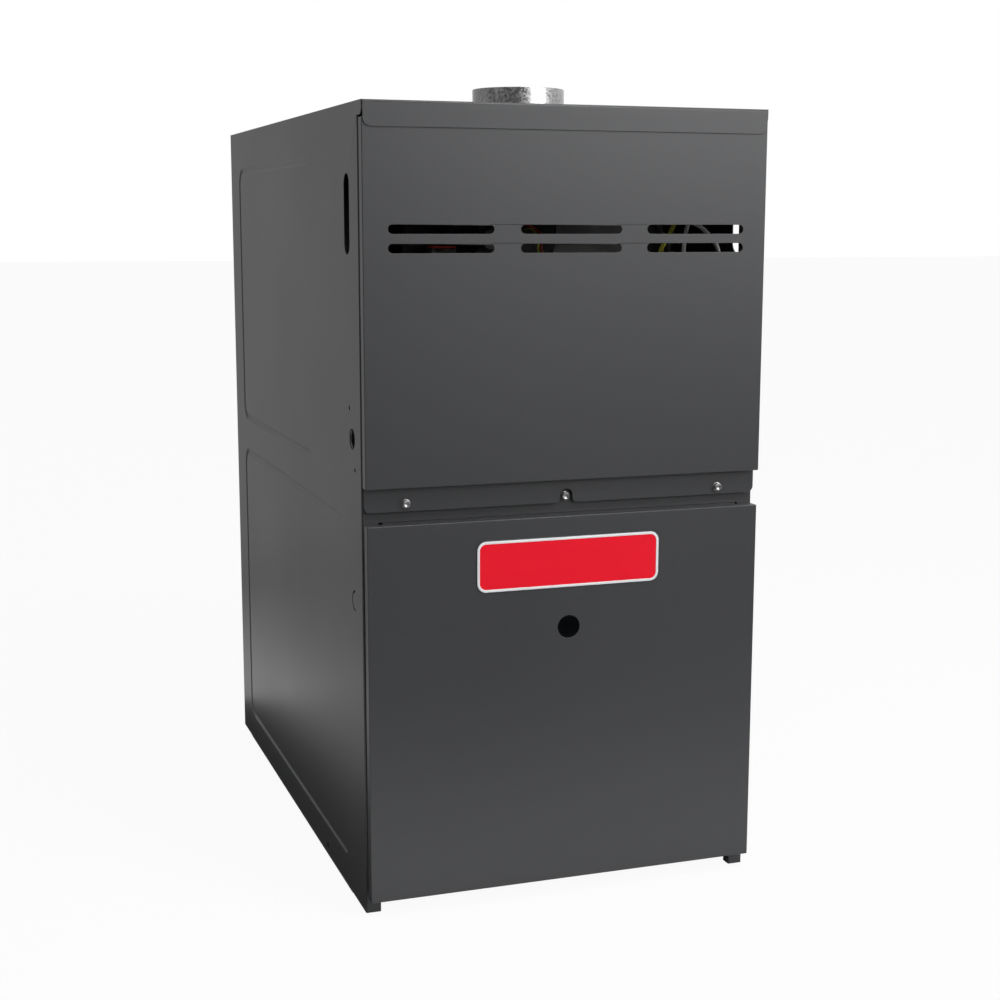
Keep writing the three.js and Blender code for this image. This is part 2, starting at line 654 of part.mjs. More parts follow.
function deck() {
  const y0 = frontY + FLANGE_RETURN + SHEET;
  const y1 = backPanelY - FOOT_LENGTH;
  const fold = (x) => block(x, x + SHEET, y0 + RAIL_SHELF, y1, deckBottom - DECK_FOLD, deckTop);
  return cut(
    join(
      block(-fitX, fitX, y0, backPanelY - CLEARANCE, deckBottom, deckTop),
      fold(-fitX),
      fold(fitX - SHEET),
    ),
    block(-blowerHalf, blowerHalf, ...outletY, deckBottom - CUT, deckTop + CUT),
    rod("z", wireHoleX, wireHoleY, WIRE_HOLE / 2, deckBottom - CUT, deckTop + CUT, 12),
  );
}
place(cabinet, "blower_deck", deck(), galvanised);

const baseZ = SHEET + CLEARANCE;
const baseY = frontY + BASE_SETBACK;

function base() {
  const y1 = backPanelY - CLEARANCE;
  const half = RETURN_WIDTH / 2;
  const opening = [-half, half, baseY + RETURN_MARGIN, y1 - RETURN_MARGIN];
  return cut(
    join(
      block(-fitX, fitX, baseY, y1, baseZ, baseZ + SHEET),
      block(-fitX, fitX, baseY, baseY + SHEET, baseZ, baseZ + BASE_KERB),
      foldedRim(...opening, baseZ, baseZ + BASE_KERB, SHEET),
    ),
    block(...opening, baseZ - CUT, baseZ + BASE_KERB + CUT),
  );
}
place(cabinet, "base_frame", base(), galvanised);

function vestibulePanel() {
  const z0 = deckTop + CLEARANCE;
  const z1 = plateUnder - CLEARANCE;
  const hole = (x, z, radius) =>
    rod("y", x, z, holeFor(radius, 12), vestibuleY - CUT, vestibuleY + SHEET + CUT, 12);
  return cut(
    join(
      block(-fitX, fitX, vestibuleY, vestibuleY + SHEET, z0, z1),
      block(-fitX, SHEET - fitX, vestibuleY - VESTIBULE_FOLD, vestibuleY + SHEET, z0, z1),
      block(fitX - SHEET, fitX, vestibuleY - VESTIBULE_FOLD, vestibuleY + SHEET, z0, z1),
    ),
    ...tubeXs.map((x) => hole(x, burnerZ, FIRST_PASS)),
    ...tubeXs.map((x) => hole(x, outletPassZ, LAST_PASS)),
    hole(0, limitZ, LIMIT_PROBE),
  );
}
place(cabinet, "vestibule_panel", vestibulePanel(), galvanised);

// Insulation along the two sides and the back of the heat exchanger compartment.
function insulation() {
  const x = innerX - BEAD_DEPTH - CLEARANCE;
  const y0 = vestibuleY + SHEET + CLEARANCE;
  const y1 = backPanelY - CLEARANCE;
  const z0 = deckTop + CLEARANCE;
  const z1 = plateUnder - SUPPLY_FOLD - CLEARANCE;
  return cut(
    block(-x, x, y0, y1, z0, z1),
    block(INSULATION - x, x - INSULATION, y0 - CUT, y1 - INSULATION, z0 - CUT, z1 + CUT),
  );
}
place(cabinet, "insulation_blanket", insulation(), foil);

// ---------------------------------------------------------------- heat exchanger
const passRise = (outletPassZ - burnerZ) / (TUBES - 1);
const bendReach = passRise / 2 + FIRST_PASS; // from a bend's centre to its outermost point
const rearBendY = backPanelY - INSULATION - REAR_ROOM - bendReach;
const frontBendY = vestibuleY + SHEET + FRONT_ROOM + bendReach;

// Four passes joined by three half-circle bends; the first pass is the widest.
function exchangerTube() {
  const half = passRise / 2;
  const stations = [];
  const add = (y, z, radius) => stations.push({ at: new THREE.Vector3(0, y, z), radius });
  const bend = (y, z, sign, radii) => {
    for (let i = 0; i <= BEND_STEPS; i++) {
      const angle = (Math.PI * i) / BEND_STEPS;
      const radius = THREE.MathUtils.lerp(radii[0], radii[1], i / BEND_STEPS);
      add(y + sign * half * Math.sin(angle), z + half * (1 - Math.cos(angle)), radius);
    }
  };
  add(vestibuleY - TUBE_END, burnerZ, FIRST_PASS);
  bend(rearBendY, burnerZ, 1, [FIRST_PASS, LAST_PASS]);
  bend(frontBendY, burnerZ + passRise, -1, [LAST_PASS, LAST_PASS]);
  bend(rearBendY, burnerZ + 2 * passRise, 1, [LAST_PASS, LAST_PASS]);
  add(vestibuleY - TUBE_END, outletPassZ, LAST_PASS);
  return sweep(stations, TUBE_SIDES, TUBE_WALL);
}
const tube = exchangerTube();
tubeXs.forEach((x, i) => place(combustion, `exchanger_tube_${i + 1}`, tube, aluminised, [x, 0, 0]));

// A saddle on the deck carries the rear ends of the tubes.
function saddle() {
  const x = outerTube + FIRST_PASS;
  const y0 = rearBendY - SADDLE_FROM_BENDS;
  const top = burnerZ - FIRST_PASS - CLEARANCE;
  const foot = deckTop + CLEARANCE;
  return join(
    block(-x, x, y0, y0 + SADDLE_WIDTH, top - SADDLE_SHEET, top),
    block(-x, x, y0, y0 + SADDLE_SHEET, foot, top),
    block(-x, x, y0, y0 + SADDLE_WIDTH, foot, foot + SADDLE_SHEET),
  );
}
place(combustion, "tube_saddle", saddle(), aluminised);

// ---------------------------------------------------------------- flue side
function collector() {
  const x = outerTube + COLLECTOR_SIDE;
  const half = COLLECTOR_HEIGHT / 2;
  const back = vestibuleY - CLEARANCE;
  return cut(
    block(-x, x, collectorY, back, inducerZ - half, inducerZ + half),
    block(FAN_SHEET - x, x - FAN_SHEET, collectorY + FAN_SHEET, back + CUT,
      inducerZ - half + FAN_SHEET, inducerZ + half - FAN_SHEET),
    rod("y", inducerX, inducerZ, SCROLL_INLET, collectorY - CUT, collectorY + FAN_SHEET + CUT, 20),
  );
}
place(combustion, "collector_box", collector(), aluminised);

// Fan scroll in its own plane: from the outlet down the inner wall to the cut-off, round the wheel on
// a growing radius, and up the outer wall. offset moves every wall outwards.
function scroll(u, v, cutoff, full, cutoffAngle, outlet, offset, steps) {
  const innerU = u + cutoff * Math.cos(THREE.MathUtils.degToRad(cutoffAngle)) - offset;
  const start = cutoff + offset;
  const joinV = v + Math.sqrt(start ** 2 - (innerU - u) ** 2);
  const from = Math.atan2(joinV - v, innerU - u);
  const wall = Array.from({ length: steps + 1 }, (_, i) => {
    const angle = from + ((2 * Math.PI - from) * i) / steps;
    const radius = start + ((full - cutoff) * i) / steps;
    return new THREE.Vector2(u + radius * Math.cos(angle), v + radius * Math.sin(angle));
  });
  const outerU = u + full + offset;
  return outline([new THREE.Vector2(innerU, outlet), ...wall, new THREE.Vector2(outerU, outlet)]);
}

const inducerOutlet = ventPlateZ - CLEARANCE;

function inducerHousing() {
  const shape = (top, offset) =>
    scroll(inducerX, inducerZ, SCROLL_CUTOFF, SCROLL_FULL, SCROLL_CUTOFF_ANGLE, top, offset, 16);
  const flangeX = (scrollRight - scrollLeft) / 2;
  const flangeZ = inducerOutlet - FAN_SHEET;
  return cut(
    join(
      prism("y", shape(inducerOutlet, 0), scrollY, scrollBackY),
      block(-flangeX - 8, flangeX + 8, scrollY, scrollBackY, flangeZ, inducerOutlet),
    ),
    prism("y", shape(inducerOutlet + CUT, -FAN_SHEET), scrollY + FAN_SHEET, scrollBackY - FAN_SHEET),
    rod("y", inducerX, inducerZ, SCROLL_INLET, scrollBackY - FAN_SHEET - CUT, scrollBackY + CUT, 20),
    rod("y", inducerX, inducerZ, INDUCER_SHAFT + INDUCER_PLAY, scrollY - CUT, scrollY + FAN_SHEET + CUT, 12),
  );
}
place(combustion, "inducer_housing", inducerHousing(), blackPaint);

// A ring of blades between two rims, in a frame whose axis is Y.
function bladeRing(count, radius, depth, from, to, sheet, lean) {
  const blade = new THREE.BoxGeometry(depth, to - from, sheet);
  blade.rotateY(THREE.MathUtils.degToRad(lean));
  blade.translate(radius - depth / 2, (from + to) / 2, 0);
  return Array.from({ length: count }, (_, i) =>
    toSolid(blade, new THREE.Matrix4().makeRotationY((2 * Math.PI * (i + 0.5)) / count)),
  );
}

const fanFrontY = motorY - COOLING_FAN_GAP;
const coolingDepth = 10;

function inducerWheel() {
  const back = scrollBackY - FAN_SHEET - 4;
  const front = back - INDUCER_WIDTH;
  const shaftFront = fanFrontY - coolingDepth - 3;
  const rim = 6;
  const spokes = turned("y", [
    [0, front], [INDUCER_WHEEL, front], [INDUCER_WHEEL, front + 2],
    [14, front + 2], [14, front + 18], [0, front + 18], [0, front],
  ], 20);
  const ring = turned("y", [
    [INDUCER_WHEEL - rim, back - 2], [INDUCER_WHEEL, back - 2], [INDUCER_WHEEL, back],
    [INDUCER_WHEEL - rim, back], [INDUCER_WHEEL - rim, back - 2],
  ], 20);
  const shaft = turned("y", [
    [0, shaftFront], [INDUCER_SHAFT, shaftFront], [INDUCER_SHAFT, front + 1], [0, front + 1], [0, shaftFront],
  ], 12);
  const blades = bladeRing(INDUCER_BLADES, INDUCER_WHEEL - 1, 14, front + 1, back - 1, 1.2, 25);
  return join(spokes, ring, shaft, ...blades);
}
place(combustion, "inducer_wheel", inducerWheel(), galvanised, [inducerX, 0, inducerZ]);

function inducerMotor() {
  const half = INDUCER_STACK / 2;
  const stackY = motorBackY - INDUCER_MOTOR_LENGTH * 0.35;
  const corner = 10;
  return cut(
    join(
      turned("y", [
        [0, motorY], [14, motorY], [INDUCER_MOTOR - 12, motorY + 9], [INDUCER_MOTOR, motorY + 16],
        [INDUCER_MOTOR, motorBackY], [0, motorBackY], [0, motorY],
      ], 24),
      prism("y", roundRect(-half, half, -half, half, corner), stackY - 18, stackY),
    ),
    rod("y", 0, 0, INDUCER_SHAFT + INDUCER_PLAY, motorY - CUT, motorBackY + CUT, 12),
  );
}
place(combustion, "inducer_motor", inducerMotor(), blackPaint, [inducerX, 0, inducerZ]);

function coolingFan() {
  const back = fanFrontY;
  const front = back - coolingDepth;
  const bore = holeFor(INDUCER_SHAFT, 16);
  const hub = turned("y", [[bore, front], [11, front], [11, back], [bore, back], [bore, front]], 16);
  const blade = new THREE.BoxGeometry(COOLING_FAN - 9, 1.4, 15);
  blade.rotateX(THREE.MathUtils.degToRad(28));
  blade.translate((COOLING_FAN + 9) / 2, (front + back) / 2, 0);
  const blades = Array.from({ length: COOLING_BLADES }, (_, i) =>
    toSolid(blade, new THREE.Matrix4().makeRotationY((2 * Math.PI * i) / COOLING_BLADES)),
  );
  return join(hub, ...blades);
}
place(combustion, "inducer_cooling_fan", coolingFan(), blackPlastic, [inducerX, 0, inducerZ]);

// The vent rises from a foot plate on the inducer outlet through the top panel.
function ventCollar() {
  const radius = VENT_DIAMETER / 2;
  const rim = HEIGHT + VENT_RISE;
  const plate = ventPlateZ + FAN_SHEET;
  const inner = radius - VENT_WALL;
  const outletX = (scrollRight - scrollLeft) / 2 - FAN_SHEET;
  const half = VENT_PLATE / 2;
  const pipe = turned("z", [
    [inner, ventPlateZ], [radius, ventPlateZ], [radius, rim], [inner, rim], [inner, ventPlateZ],
  ], 32);
  const foot = block(-half, half, -half, Math.min(half, VESTIBULE - VENT_BACK - SHEET), ventPlateZ, plate);
  const opening = block(-outletX, outletX, scrollY + FAN_SHEET - ventY, scrollBackY - FAN_SHEET - ventY,
    ventPlateZ - CUT, plate + CUT);
  return join(cut(foot, opening), pipe);
}
place(combustion, "vent_collar", ventCollar(), galvanised, [0, ventY, 0]);

// ---------------------------------------------------------------- burners and gas train
const burnerProfile = [
  [BURNER_BELL, 0],
  [BURNER_THROAT, 16],
  [BURNER_THROAT, 26],
  [BURNER_TUBE, 48],
  [BURNER_TUBE, BURNER_LENGTH - 18],
  [BURNER_HEAD, BURNER_LENGTH - 12],
  [BURNER_HEAD, BURNER_LENGTH],
];

function burner() {
  const inside = burnerProfile.map(([radius, along]) => [radius - BURNER_WALL, along]).reverse();
  return turned("y", [...burnerProfile, ...inside, burnerProfile[0]], 10);
}
const burnerSolid = burner();
tubeXs.forEach((x, i) =>
  place(combustion, `burner_${i + 1}`, burnerSolid, aluminised, [x, burnerFrontY, burnerZ]),
);

const rackX = outerTube + RACK_SIDE;
const manifoldBackY = manifoldY + MANIFOLD_RADIUS;
const earHeight = 18;

// The rack holds the burners in its front plate, the manifold on two ears, and stands off the
// vestibule panel on two side arms.
function burnerRack() {
  const z0 = burnerZ - RACK_BOTTOM;
  const z1 = burnerZ + RACK_TOP;
  const back = vestibuleY - CLEARANCE;
  const ear = (x) => block(x, x + RACK_SHEET, manifoldBackY + CLEARANCE, rackY + RACK_SHEET / 2,
    burnerZ - earHeight / 2, burnerZ + earHeight / 2);
  const hole = (x) =>
    rod("y", x, burnerZ, holeFor(BURNER_TUBE, 12), rackY - CUT, rackY + RACK_SHEET + CUT, 12);
  return cut(
    join(
      block(-rackX, rackX, rackY, rackY + RACK_SHEET, z0, z1),
      block(-rackX, RACK_SHEET - rackX, rackY, back, z0, z1),
      block(rackX - RACK_SHEET, rackX, rackY, back, z0, z1),
      ear(-TUBE_PITCH),
      ear(TUBE_PITCH),
    ),
    ...tubeXs.map(hole),
  );
}
place(combustion, "burner_rack", burnerRack(), galvanised);

const valveZ = burnerZ + VALVE_RISE;
const valveY = manifoldY - VALVE_DEPTH / 2;

function manifold() {
  const end = outerTube + 14;
  const elbow = 14;
  const at = (x, z) => ({ at: new THREE.Vector3(x, manifoldY, z), radius: MANIFOLD_RADIUS });
  const bend = Array.from({ length: 5 }, (_, i) => {
    const angle = Math.PI + (Math.PI / 2) * (i / 4);
    return at(VALVE_X + elbow + elbow * Math.cos(angle), burnerZ + elbow + elbow * Math.sin(angle));
  });
  const pipe = sweep([at(VALVE_X, valveZ - CLEARANCE), ...bend, at(end, burnerZ)], 12);
  const cap = rod("x", manifoldY, burnerZ, MANIFOLD_RADIUS + 2.5, end - 14, end + 2, 12);
  const spuds = tubeXs.map((x) =>
    rod("y", x, burnerZ, SPUD_RADIUS, manifoldY, burnerFrontY + SPUD_REACH, 8),
  );
  return join(pipe, cap, ...spuds);
}
place(combustion, "gas_manifold", manifold(), blackPaint);

const valveTop = valveZ + VALVE_HEIGHT;
const portZ = valveZ + VALVE_HEIGHT * 0.55;
const portX = VALVE_X - VALVE_WIDTH / 2;
const portLength = 14;
const knobX = VALVE_X + 14;
const knobZ = valveTop - 22;
const knobPost = 3;

function gasValve() {
  const half = VALVE_WIDTH / 2;
  const back = valveY + VALVE_DEPTH;
  const lower = prism("y", roundRect(VALVE_X - half, VALVE_X + half, valveZ, valveTop, 7, 2), valveY, back);
  const inlet = rod("x", valveY + VALVE_DEPTH / 2, portZ, VALVE_PORT, portX - portLength, portX + CUT, 6);
  const head = block(VALVE_X - 24, VALVE_X + 26, valveY + 22, back - 6, valveTop - CUT, valveTop + 13);
  return cut(
    join(lower, inlet, head),
    rod("y", knobX, knobZ, knobPost + 0.5, valveY - CUT, valveY + 9, 12),
    rod("x", valveY + VALVE_DEPTH / 2, portZ, VALVE_PORT - 6, portX - portLength - CUT, portX, 12),
  );
}
place(combustion, "gas_valve", gasValve(), castAluminium);

// The shipping plug in the valve's inlet port.
function inletPlug() {
  const x0 = portX - portLength;
  return turned("x", [
    [0, x0 - 7], [VALVE_PORT - 3, x0 - 7], [VALVE_PORT - 3, x0 - CLEARANCE], [VALVE_PORT - 7, x0 - CLEARANCE],
    [VALVE_PORT - 7, x0 + 8], [0, x0 + 8], [0, x0 - 7],
  ], 16);
}
place(combustion, "gas_inlet_plug", inletPlug(), redPlastic, [0, valveY + VALVE_DEPTH / 2, portZ]);

function valveKnob() {
  const front = valveY - CLEARANCE - KNOB_LENGTH;
  const grip = block(-3, 3, front - 4, front + 2, -KNOB_RADIUS + 1.5, KNOB_RADIUS - 1.5);
  const body = turned("y", [
    [0, front], [KNOB_RADIUS - 2, front], [KNOB_RADIUS, valveY - CLEARANCE], [knobPost, valveY - CLEARANCE],
    [knobPost, valveY + 8], [0, valveY + 8], [0, front],
  ], 20);
  return join(body, grip);
}
place(combustion, "gas_valve_knob", valveKnob(), blackPlastic, [knobX, 0, knobZ]);

// Ceramic holder on the vestibule panel with a blade or rod that reaches into the flame path.
function flameProbe(side, reach, thick, height) {
  const back = vestibuleY - CLEARANCE;
  const inner = outerTube + FIRST_PASS + 2;
  const part = (x0, x1, y0, y1, half) =>
    block(...(side > 0 ? [x0, x1] : [-x1, -x0]), y0, y1, burnerZ - half, burnerZ + half);
  return join(
    part(inner, inner + 13, back - 15, back, 11),
    part(inner - reach, inner + 1, back - 8, back - 8 + thick, height / 2),
  );
}
place(combustion, "hot_surface_igniter", flameProbe(1, 22, 3.5, 9), ceramic);
place(combustion, "flame_sensor", flameProbe(-1, 30, 2.4, 2.4), ceramic);

const switchZ = burnerZ + SWITCH_RISE;
const switchBackY = rackY - CLEARANCE;
const switchY = switchBackY - SWITCH_LENGTH;
const resetBore = RESET_IN + RESET_TRAVEL + 1;

function rolloutSwitch() {
  const ear = SWITCH_RADIUS + 7;
  return cut(
    join(
      rod("y", 0, 0, SWITCH_RADIUS, switchY, switchBackY, 16),
      prism("y", obround(0, 0, 2 * ear, 9, 2), switchBackY - 1.2, switchBackY),
    ),
    rod("y", 0, 0, RESET_RADIUS + CLEARANCE, switchY - CUT, switchY + resetBore, 10),
  );
}

const resetButton = rod("y", 0, 0, RESET_RADIUS, switchY - RESET_OUT, switchY + RESET_IN, 10);
[["left", -1], ["right", 1]].forEach(([name, side]) => {
  const position = [side * (rackX - 24), 0, switchZ];
  place(combustion, `rollout_switch_${name}`, rolloutSwitch(), blackPlastic, position);
  place(combustion, `rollout_reset_${name}`, resetButton, redPlastic, position);
});

function limitSwitch() {
  const seat = vestibuleY - CLEARANCE;
  const front = seat - 16;
  const tip = vestibuleY + 48;
  const flange = LIMIT_RADIUS + 6;
  return turned("y", [
    [0, front], [LIMIT_RADIUS, front], [LIMIT_RADIUS, seat - 3], [flange, seat - 3],
    [flange, seat], [LIMIT_PROBE, seat], [LIMIT_PROBE, tip], [0, tip], [0, front],
  ], 16);
}
place(combustion, "limit_switch", limitSwitch(), blackPlastic, [0, 0, limitZ]);

const pressureX = innerX - PRESSURE_SIDE - PRESSURE_RADIUS;
const pressureZ = collectorBottom - PRESSURE_DROP;
const pressureY = vestibuleY - CLEARANCE - PRESSURE_DEPTH;
const nippleLength = 12;

function pressureSwitch() {
  const back = vestibuleY - CLEARANCE;
  const r = PRESSURE_RADIUS;
  const y = pressureY;
  const body = turned("y", [
    [0, y], [r - 9, y], [r - 4, y + 7], [r, y + 9], [r, y + 15], [r - 4, y + 17],
    [r - 6, back], [0, back], [0, y],
  ], 20);
  return join(body, rod("y", 0, 0, HOSE_RADIUS - 1, pressureY - nippleLength, pressureY + 1, 8));
}
place(combustion, "pressure_switch", pressureSwitch(), blackPlastic, [pressureX, 0, pressureZ]);

// Sensing hose from the port on the inducer's outlet duct to the pressure switch.
const hosePortZ = inducerOutlet - 22;
const hosePortY = (scrollY + scrollBackY) / 2 - 14;
const hoseStartX = (scrollRight - scrollLeft) / 2 + CLEARANCE;
const hoseEndY = pressureY - nippleLength - CLEARANCE;
const pressureHose = lead([
  [hoseStartX, hosePortY, hosePortZ],
  [hoseStartX + 14, hosePortY, hosePortZ],
  [hoseStartX + 52, hosePortY - 14, hosePortZ - 8],
  [hoseStartX + 96, hosePortY - 38, hosePortZ - 34],
  [hoseStartX + 122, hosePortY - 42, hosePortZ - 74],
  [pressureX - 6, hoseEndY - 34, pressureZ + 18],
  [pressureX, hoseEndY - 12, pressureZ + 1],
  [pressureX, hoseEndY, pressureZ],
], HOSE_RADIUS);
place(combustion, "pressure_hose", pressureHose, rubberHose);

// ---------------------------------------------------------------- controls
const boxX0 = -innerX + CLEARANCE;
const boxX1 = boxX0 + BOX_LENGTH;
const boxY0 = frontY + CONDUIT_BACK - BOX_DEPTH / 2 + 10;
const boxY1 = boxY0 + BOX_DEPTH;
const boxZ0 = CONDUIT_Z - BOX_HEIGHT / 2;
const boxZ1 = boxZ0 + BOX_HEIGHT;

// Open to the right, with the conduit entry and two screw holes in line with the side panel's.
function junctionBox() {
  const s = BOX_SHEET;
  const wall = (y, z, diameter) => rod("x", y, z, diameter / 2, boxX0 - CUT, boxX0 + s + CUT, 12);
  const y = frontY + CONDUIT_BACK;
  return cut(
    block(boxX0, boxX1, boxY0, boxY1, boxZ0, boxZ1),
    block(boxX0 + s, boxX1 + CUT, boxY0 + s, boxY1 - s, boxZ0 + s, boxZ1 - s),
    wall(y, CONDUIT_Z, CONDUIT_DIAMETER),
    wall(y + BOX_SCREW_BACK, CONDUIT_Z + BOX_SCREW_RISE, BOX_SCREW_DIAMETER),
    wall(y - BOX_SCREW_BACK, CONDUIT_Z - BOX_SCREW_RISE, BOX_SCREW_DIAMETER),
  );
}
place(controls, "junction_box", junctionBox(), galvanised);

const boxCover = block(boxX1 + CLEARANCE, boxX1 + CLEARANCE + BOX_SHEET, boxY0, boxY1, boxZ0, boxZ1);
place(controls, "junction_box_cover", boxCover, galvanised);

const panelX1 = innerX - PANEL_SIDE_GAP;
const panelX0 = panelX1 - PANEL_WIDTH;
const panelY = frontY + PANEL_BACK;
const panelZ1 = deckBottom - CLEARANCE;
const panelZ0 = panelZ1 - PANEL_HEIGHT;

function controlPanel() {
  return join(
    block(panelX0, panelX1, panelY, panelY + SHEET, panelZ0, panelZ1),
    block(panelX0, panelX1, panelY, panelY + PANEL_FOLD, panelZ1 - SHEET, panelZ1),
    block(panelX0, panelX1, panelY, panelY + PANEL_FOLD, panelZ0, panelZ0 + SHEET),
  );
}
place(controls, "control_panel", controlPanel(), galvanised);

const boardX1 = panelX1 - BOARD_MARGIN;
const boardX0 = boardX1 - BOARD_WIDTH;
const boardZ1 = panelZ1 - BOARD_MARGIN - 46;
const boardZ0 = boardZ1 - BOARD_HEIGHT;
const boardBackY = panelY - BOARD_STANDOFF;
const boardY = boardBackY - BOARD_THICK;

// Circuit board on four posts, with its relays, terminal block, fuse and connectors.
function controlBoard() {
  const inset = 8;
  const posts = [boardX0 + inset, boardX1 - inset].flatMap((x) =>
    [boardZ0 + inset, boardZ1 - inset].map((z) => rod("y", x, z, 3, boardBackY - 0.5, panelY - CLEARANCE, 8)),
  );
  const unit = BOARD_WIDTH / 38; // parts stand on a grid of about 4 mm
  const part = (...cells) => {
    const [x, z, width, height, depth] = cells.map((cell) => cell * unit);
    const [x0, z0] = [boardX0 + x, boardZ0 + z];
    return block(x0, x0 + width, boardY - depth, boardY + 0.5, z0, z0 + height);
  };
  return join(
    block(boardX0, boardX1, boardY, boardBackY, boardZ0, boardZ1),
    ...posts,
    part(3.5, 18.5, 7, 6, 5),
    part(12, 18.5, 7, 6, 5),
    part(20.5, 18.5, 7, 6, 5),
    part(5, 1.5, 21, 3.25, 3),
    part(29.5, 5, 2.5, 11, 2.5),
    part(29.5, 19.5, 4.5, 2.25, 3.5),
    part(6, 8.5, 8.5, 6, 1.25),
    part(18, 9, 5.5, 4, 3),
  );
}
place(controls, "control_board", controlBoard(), boardGreen);

function transformer() {
  const x0 = panelX0 + 6;
  const z0 = panelZ0 + 22;
  const back = panelY - CLEARANCE;
  return join(
    block(x0, x0 + TRANSFORMER, back - 1.5, back, z0 - 10, z0 + TRANSFORMER + 10),
    block(x0 + 4, x0 + TRANSFORMER - 4, back - TRANSFORMER + 10, back - 1, z0 + 8, z0 + TRANSFORMER - 8),
    block(x0 + 13, x0 + TRANSFORMER - 13, back - TRANSFORMER, back - 1, z0, z0 + TRANSFORMER),
  );
}
place(controls, "transformer", transformer(), blackPaint);

// The door switch hangs under the rail; its plunger stands against the lower door.
const doorSwitchZ1 = railBottom - CLEARANCE;
const plungerZ = doorSwitchZ1 - DOOR_SWITCH_HEIGHT / 2;
const doorSwitchY = frontY + CLEARANCE;
const plungerTip = doorBackY + CLEARANCE;
const plungerEnd = doorSwitchY + PLUNGER_INSIDE;

function doorSwitch() {
  const half = DOOR_SWITCH_WIDTH / 2;
  const back = doorSwitchY + DOOR_SWITCH_LENGTH;
  const boreEnd = plungerEnd + PLUNGER_TRAVEL + 1;
  return cut(
    block(-half, half, doorSwitchY, back, doorSwitchZ1 - DOOR_SWITCH_HEIGHT, doorSwitchZ1),
    rod("y", 0, plungerZ, PLUNGER_RADIUS + PLUNGER_PLAY, doorSwitchY - CUT, boreEnd, 12),
  );
}
place(controls, "door_switch", doorSwitch(), blackPlastic, [DOOR_SWITCH_X, 0, 0]);

const plunger = rod("y", 0, plungerZ, PLUNGER_RADIUS, plungerTip, plungerEnd, 12);
place(controls, "door_switch_plunger", plunger, redPlastic, [DOOR_SWITCH_X, 0, 0]);

// Wiring trunk from the control board through the deck, with branches to the parts that it feeds.
const trunkX = wireHoleX;
const trunkY = wireHoleY;
const trunkTop = inducerZ - 16;
const trunkAt = (share) => burnerZ + (trunkTop - burnerZ) * share;
const harness = join(
  lead([
    [boardX0 + 96, boardY - 12, boardZ1 - 10],
    [boardX0 + 100, boardY - 16, boardZ1 + 10],
    [trunkX - 4, trunkY - 4, deckBottom - 18],
    [trunkX, trunkY, deckBottom],
    [trunkX, trunkY, deckTop + 40],
    [trunkX + 2, trunkY, trunkAt(0.228)],
    [trunkX + 6, trunkY - 4, trunkAt(0.627)],
    [trunkX + 2, trunkY - 8, trunkAt(0.886)],
    [trunkX - 6, trunkY - 8, trunkTop],
  ], 4.2),
  lead([
    [trunkX + 5, trunkY - 3, trunkAt(0.547)],
    [trunkX - 30, trunkY + 6, trunkAt(0.639)],
    [trunkX - 90, trunkY + 60, trunkAt(0.673)],
    [10, vestibuleY - 40, limitZ + 6],
    [6, vestibuleY - 28, limitZ + 2],
    [6, vestibuleY - 17, limitZ],
  ], 2.4),
  lead([
    [trunkX + 4, trunkY - 6, trunkAt(0.73)],
    [trunkX - 44, trunkY - 14, trunkAt(0.741)],
    [20, trunkY - 14, trunkAt(0.764)],
    [VALVE_X + 42, manifoldY - 14, valveTop + 26],
    [VALVE_X + 14, manifoldY - 10, valveTop + 24],
    [VALVE_X + 8, manifoldY - 8, valveTop + 14],
  ], 2.4),
);
place(controls, "wiring_harness", harness, yellowWire);

// ---------------------------------------------------------------- blower
function blowerHousing() {
  const shape = (top, offset) =>
    scroll(blowerY, blowerZ, BLOWER_CUTOFF, BLOWER_FULL, BLOWER_CUTOFF_ANGLE, top, offset, 20);
  const wide = blowerHalf + BLOWER_FLANGE;
  const inner = blowerHalf - BLOWER_SHEET;
  return cut(
    join(
      prism("x", shape(blowerTop, 0), -blowerHalf, blowerHalf),
      block(-wide, wide, ...outletY, blowerTop - BLOWER_SHEET, blowerTop),
    ),
    prism("x", shape(blowerTop + CUT, -BLOWER_SHEET), -inner, inner),
    rod("x", blowerY, blowerZ, BLOWER_INLET, -blowerHalf - CUT, blowerHalf + CUT, 28),
  );
}
place(airside, "blower_housing", blowerHousing(), galvanised);

function blowerWheel() {
  const half = WHEEL_WIDTH / 2;
  const bore = holeFor(SHAFT_RADIUS, 24);
  const rim = (from) => turned("y", [
    [WHEEL_RADIUS - WHEEL_RIM, from], [WHEEL_RADIUS, from], [WHEEL_RADIUS, from + WHEEL_RIM],
    [WHEEL_RADIUS - WHEEL_RIM, from + WHEEL_RIM], [WHEEL_RADIUS - WHEEL_RIM, from],
  ], 24);
  const centre = turned("y", [
    [bore, -HUB_LENGTH / 2], [HUB_RADIUS, -HUB_LENGTH / 2], [HUB_RADIUS, -1], [WHEEL_RADIUS, -1],
    [WHEEL_RADIUS, 1], [HUB_RADIUS, 1], [HUB_RADIUS, HUB_LENGTH / 2], [bore, HUB_LENGTH / 2],
    [bore, -HUB_LENGTH / 2],
  ], 24);
  const blades = bladeRing(WHEEL_BLADES, WHEEL_RADIUS - 1, BLADE_DEPTH, -half + 1, half - 1, BLADE_SHEET, 30);
  return join(centre, rim(-half), rim(half - WHEEL_RIM), ...blades);
}

// The wheel is made on the Y axis and turned onto X.
function ontoX(solid) {
  const data = solid.getMesh();
  const geometry = new THREE.BufferGeometry();
  geometry.setAttribute("position", new THREE.BufferAttribute(new Float32Array(data.vertProperties), 3));
  geometry.setIndex(new THREE.BufferAttribute(new Uint32Array(data.triVerts), 1));
  return toSolid(geometry, TURNED.x);
}
place(airside, "blower_wheel", ontoX(blowerWheel()), galvanised, [0, blowerY, blowerZ]);

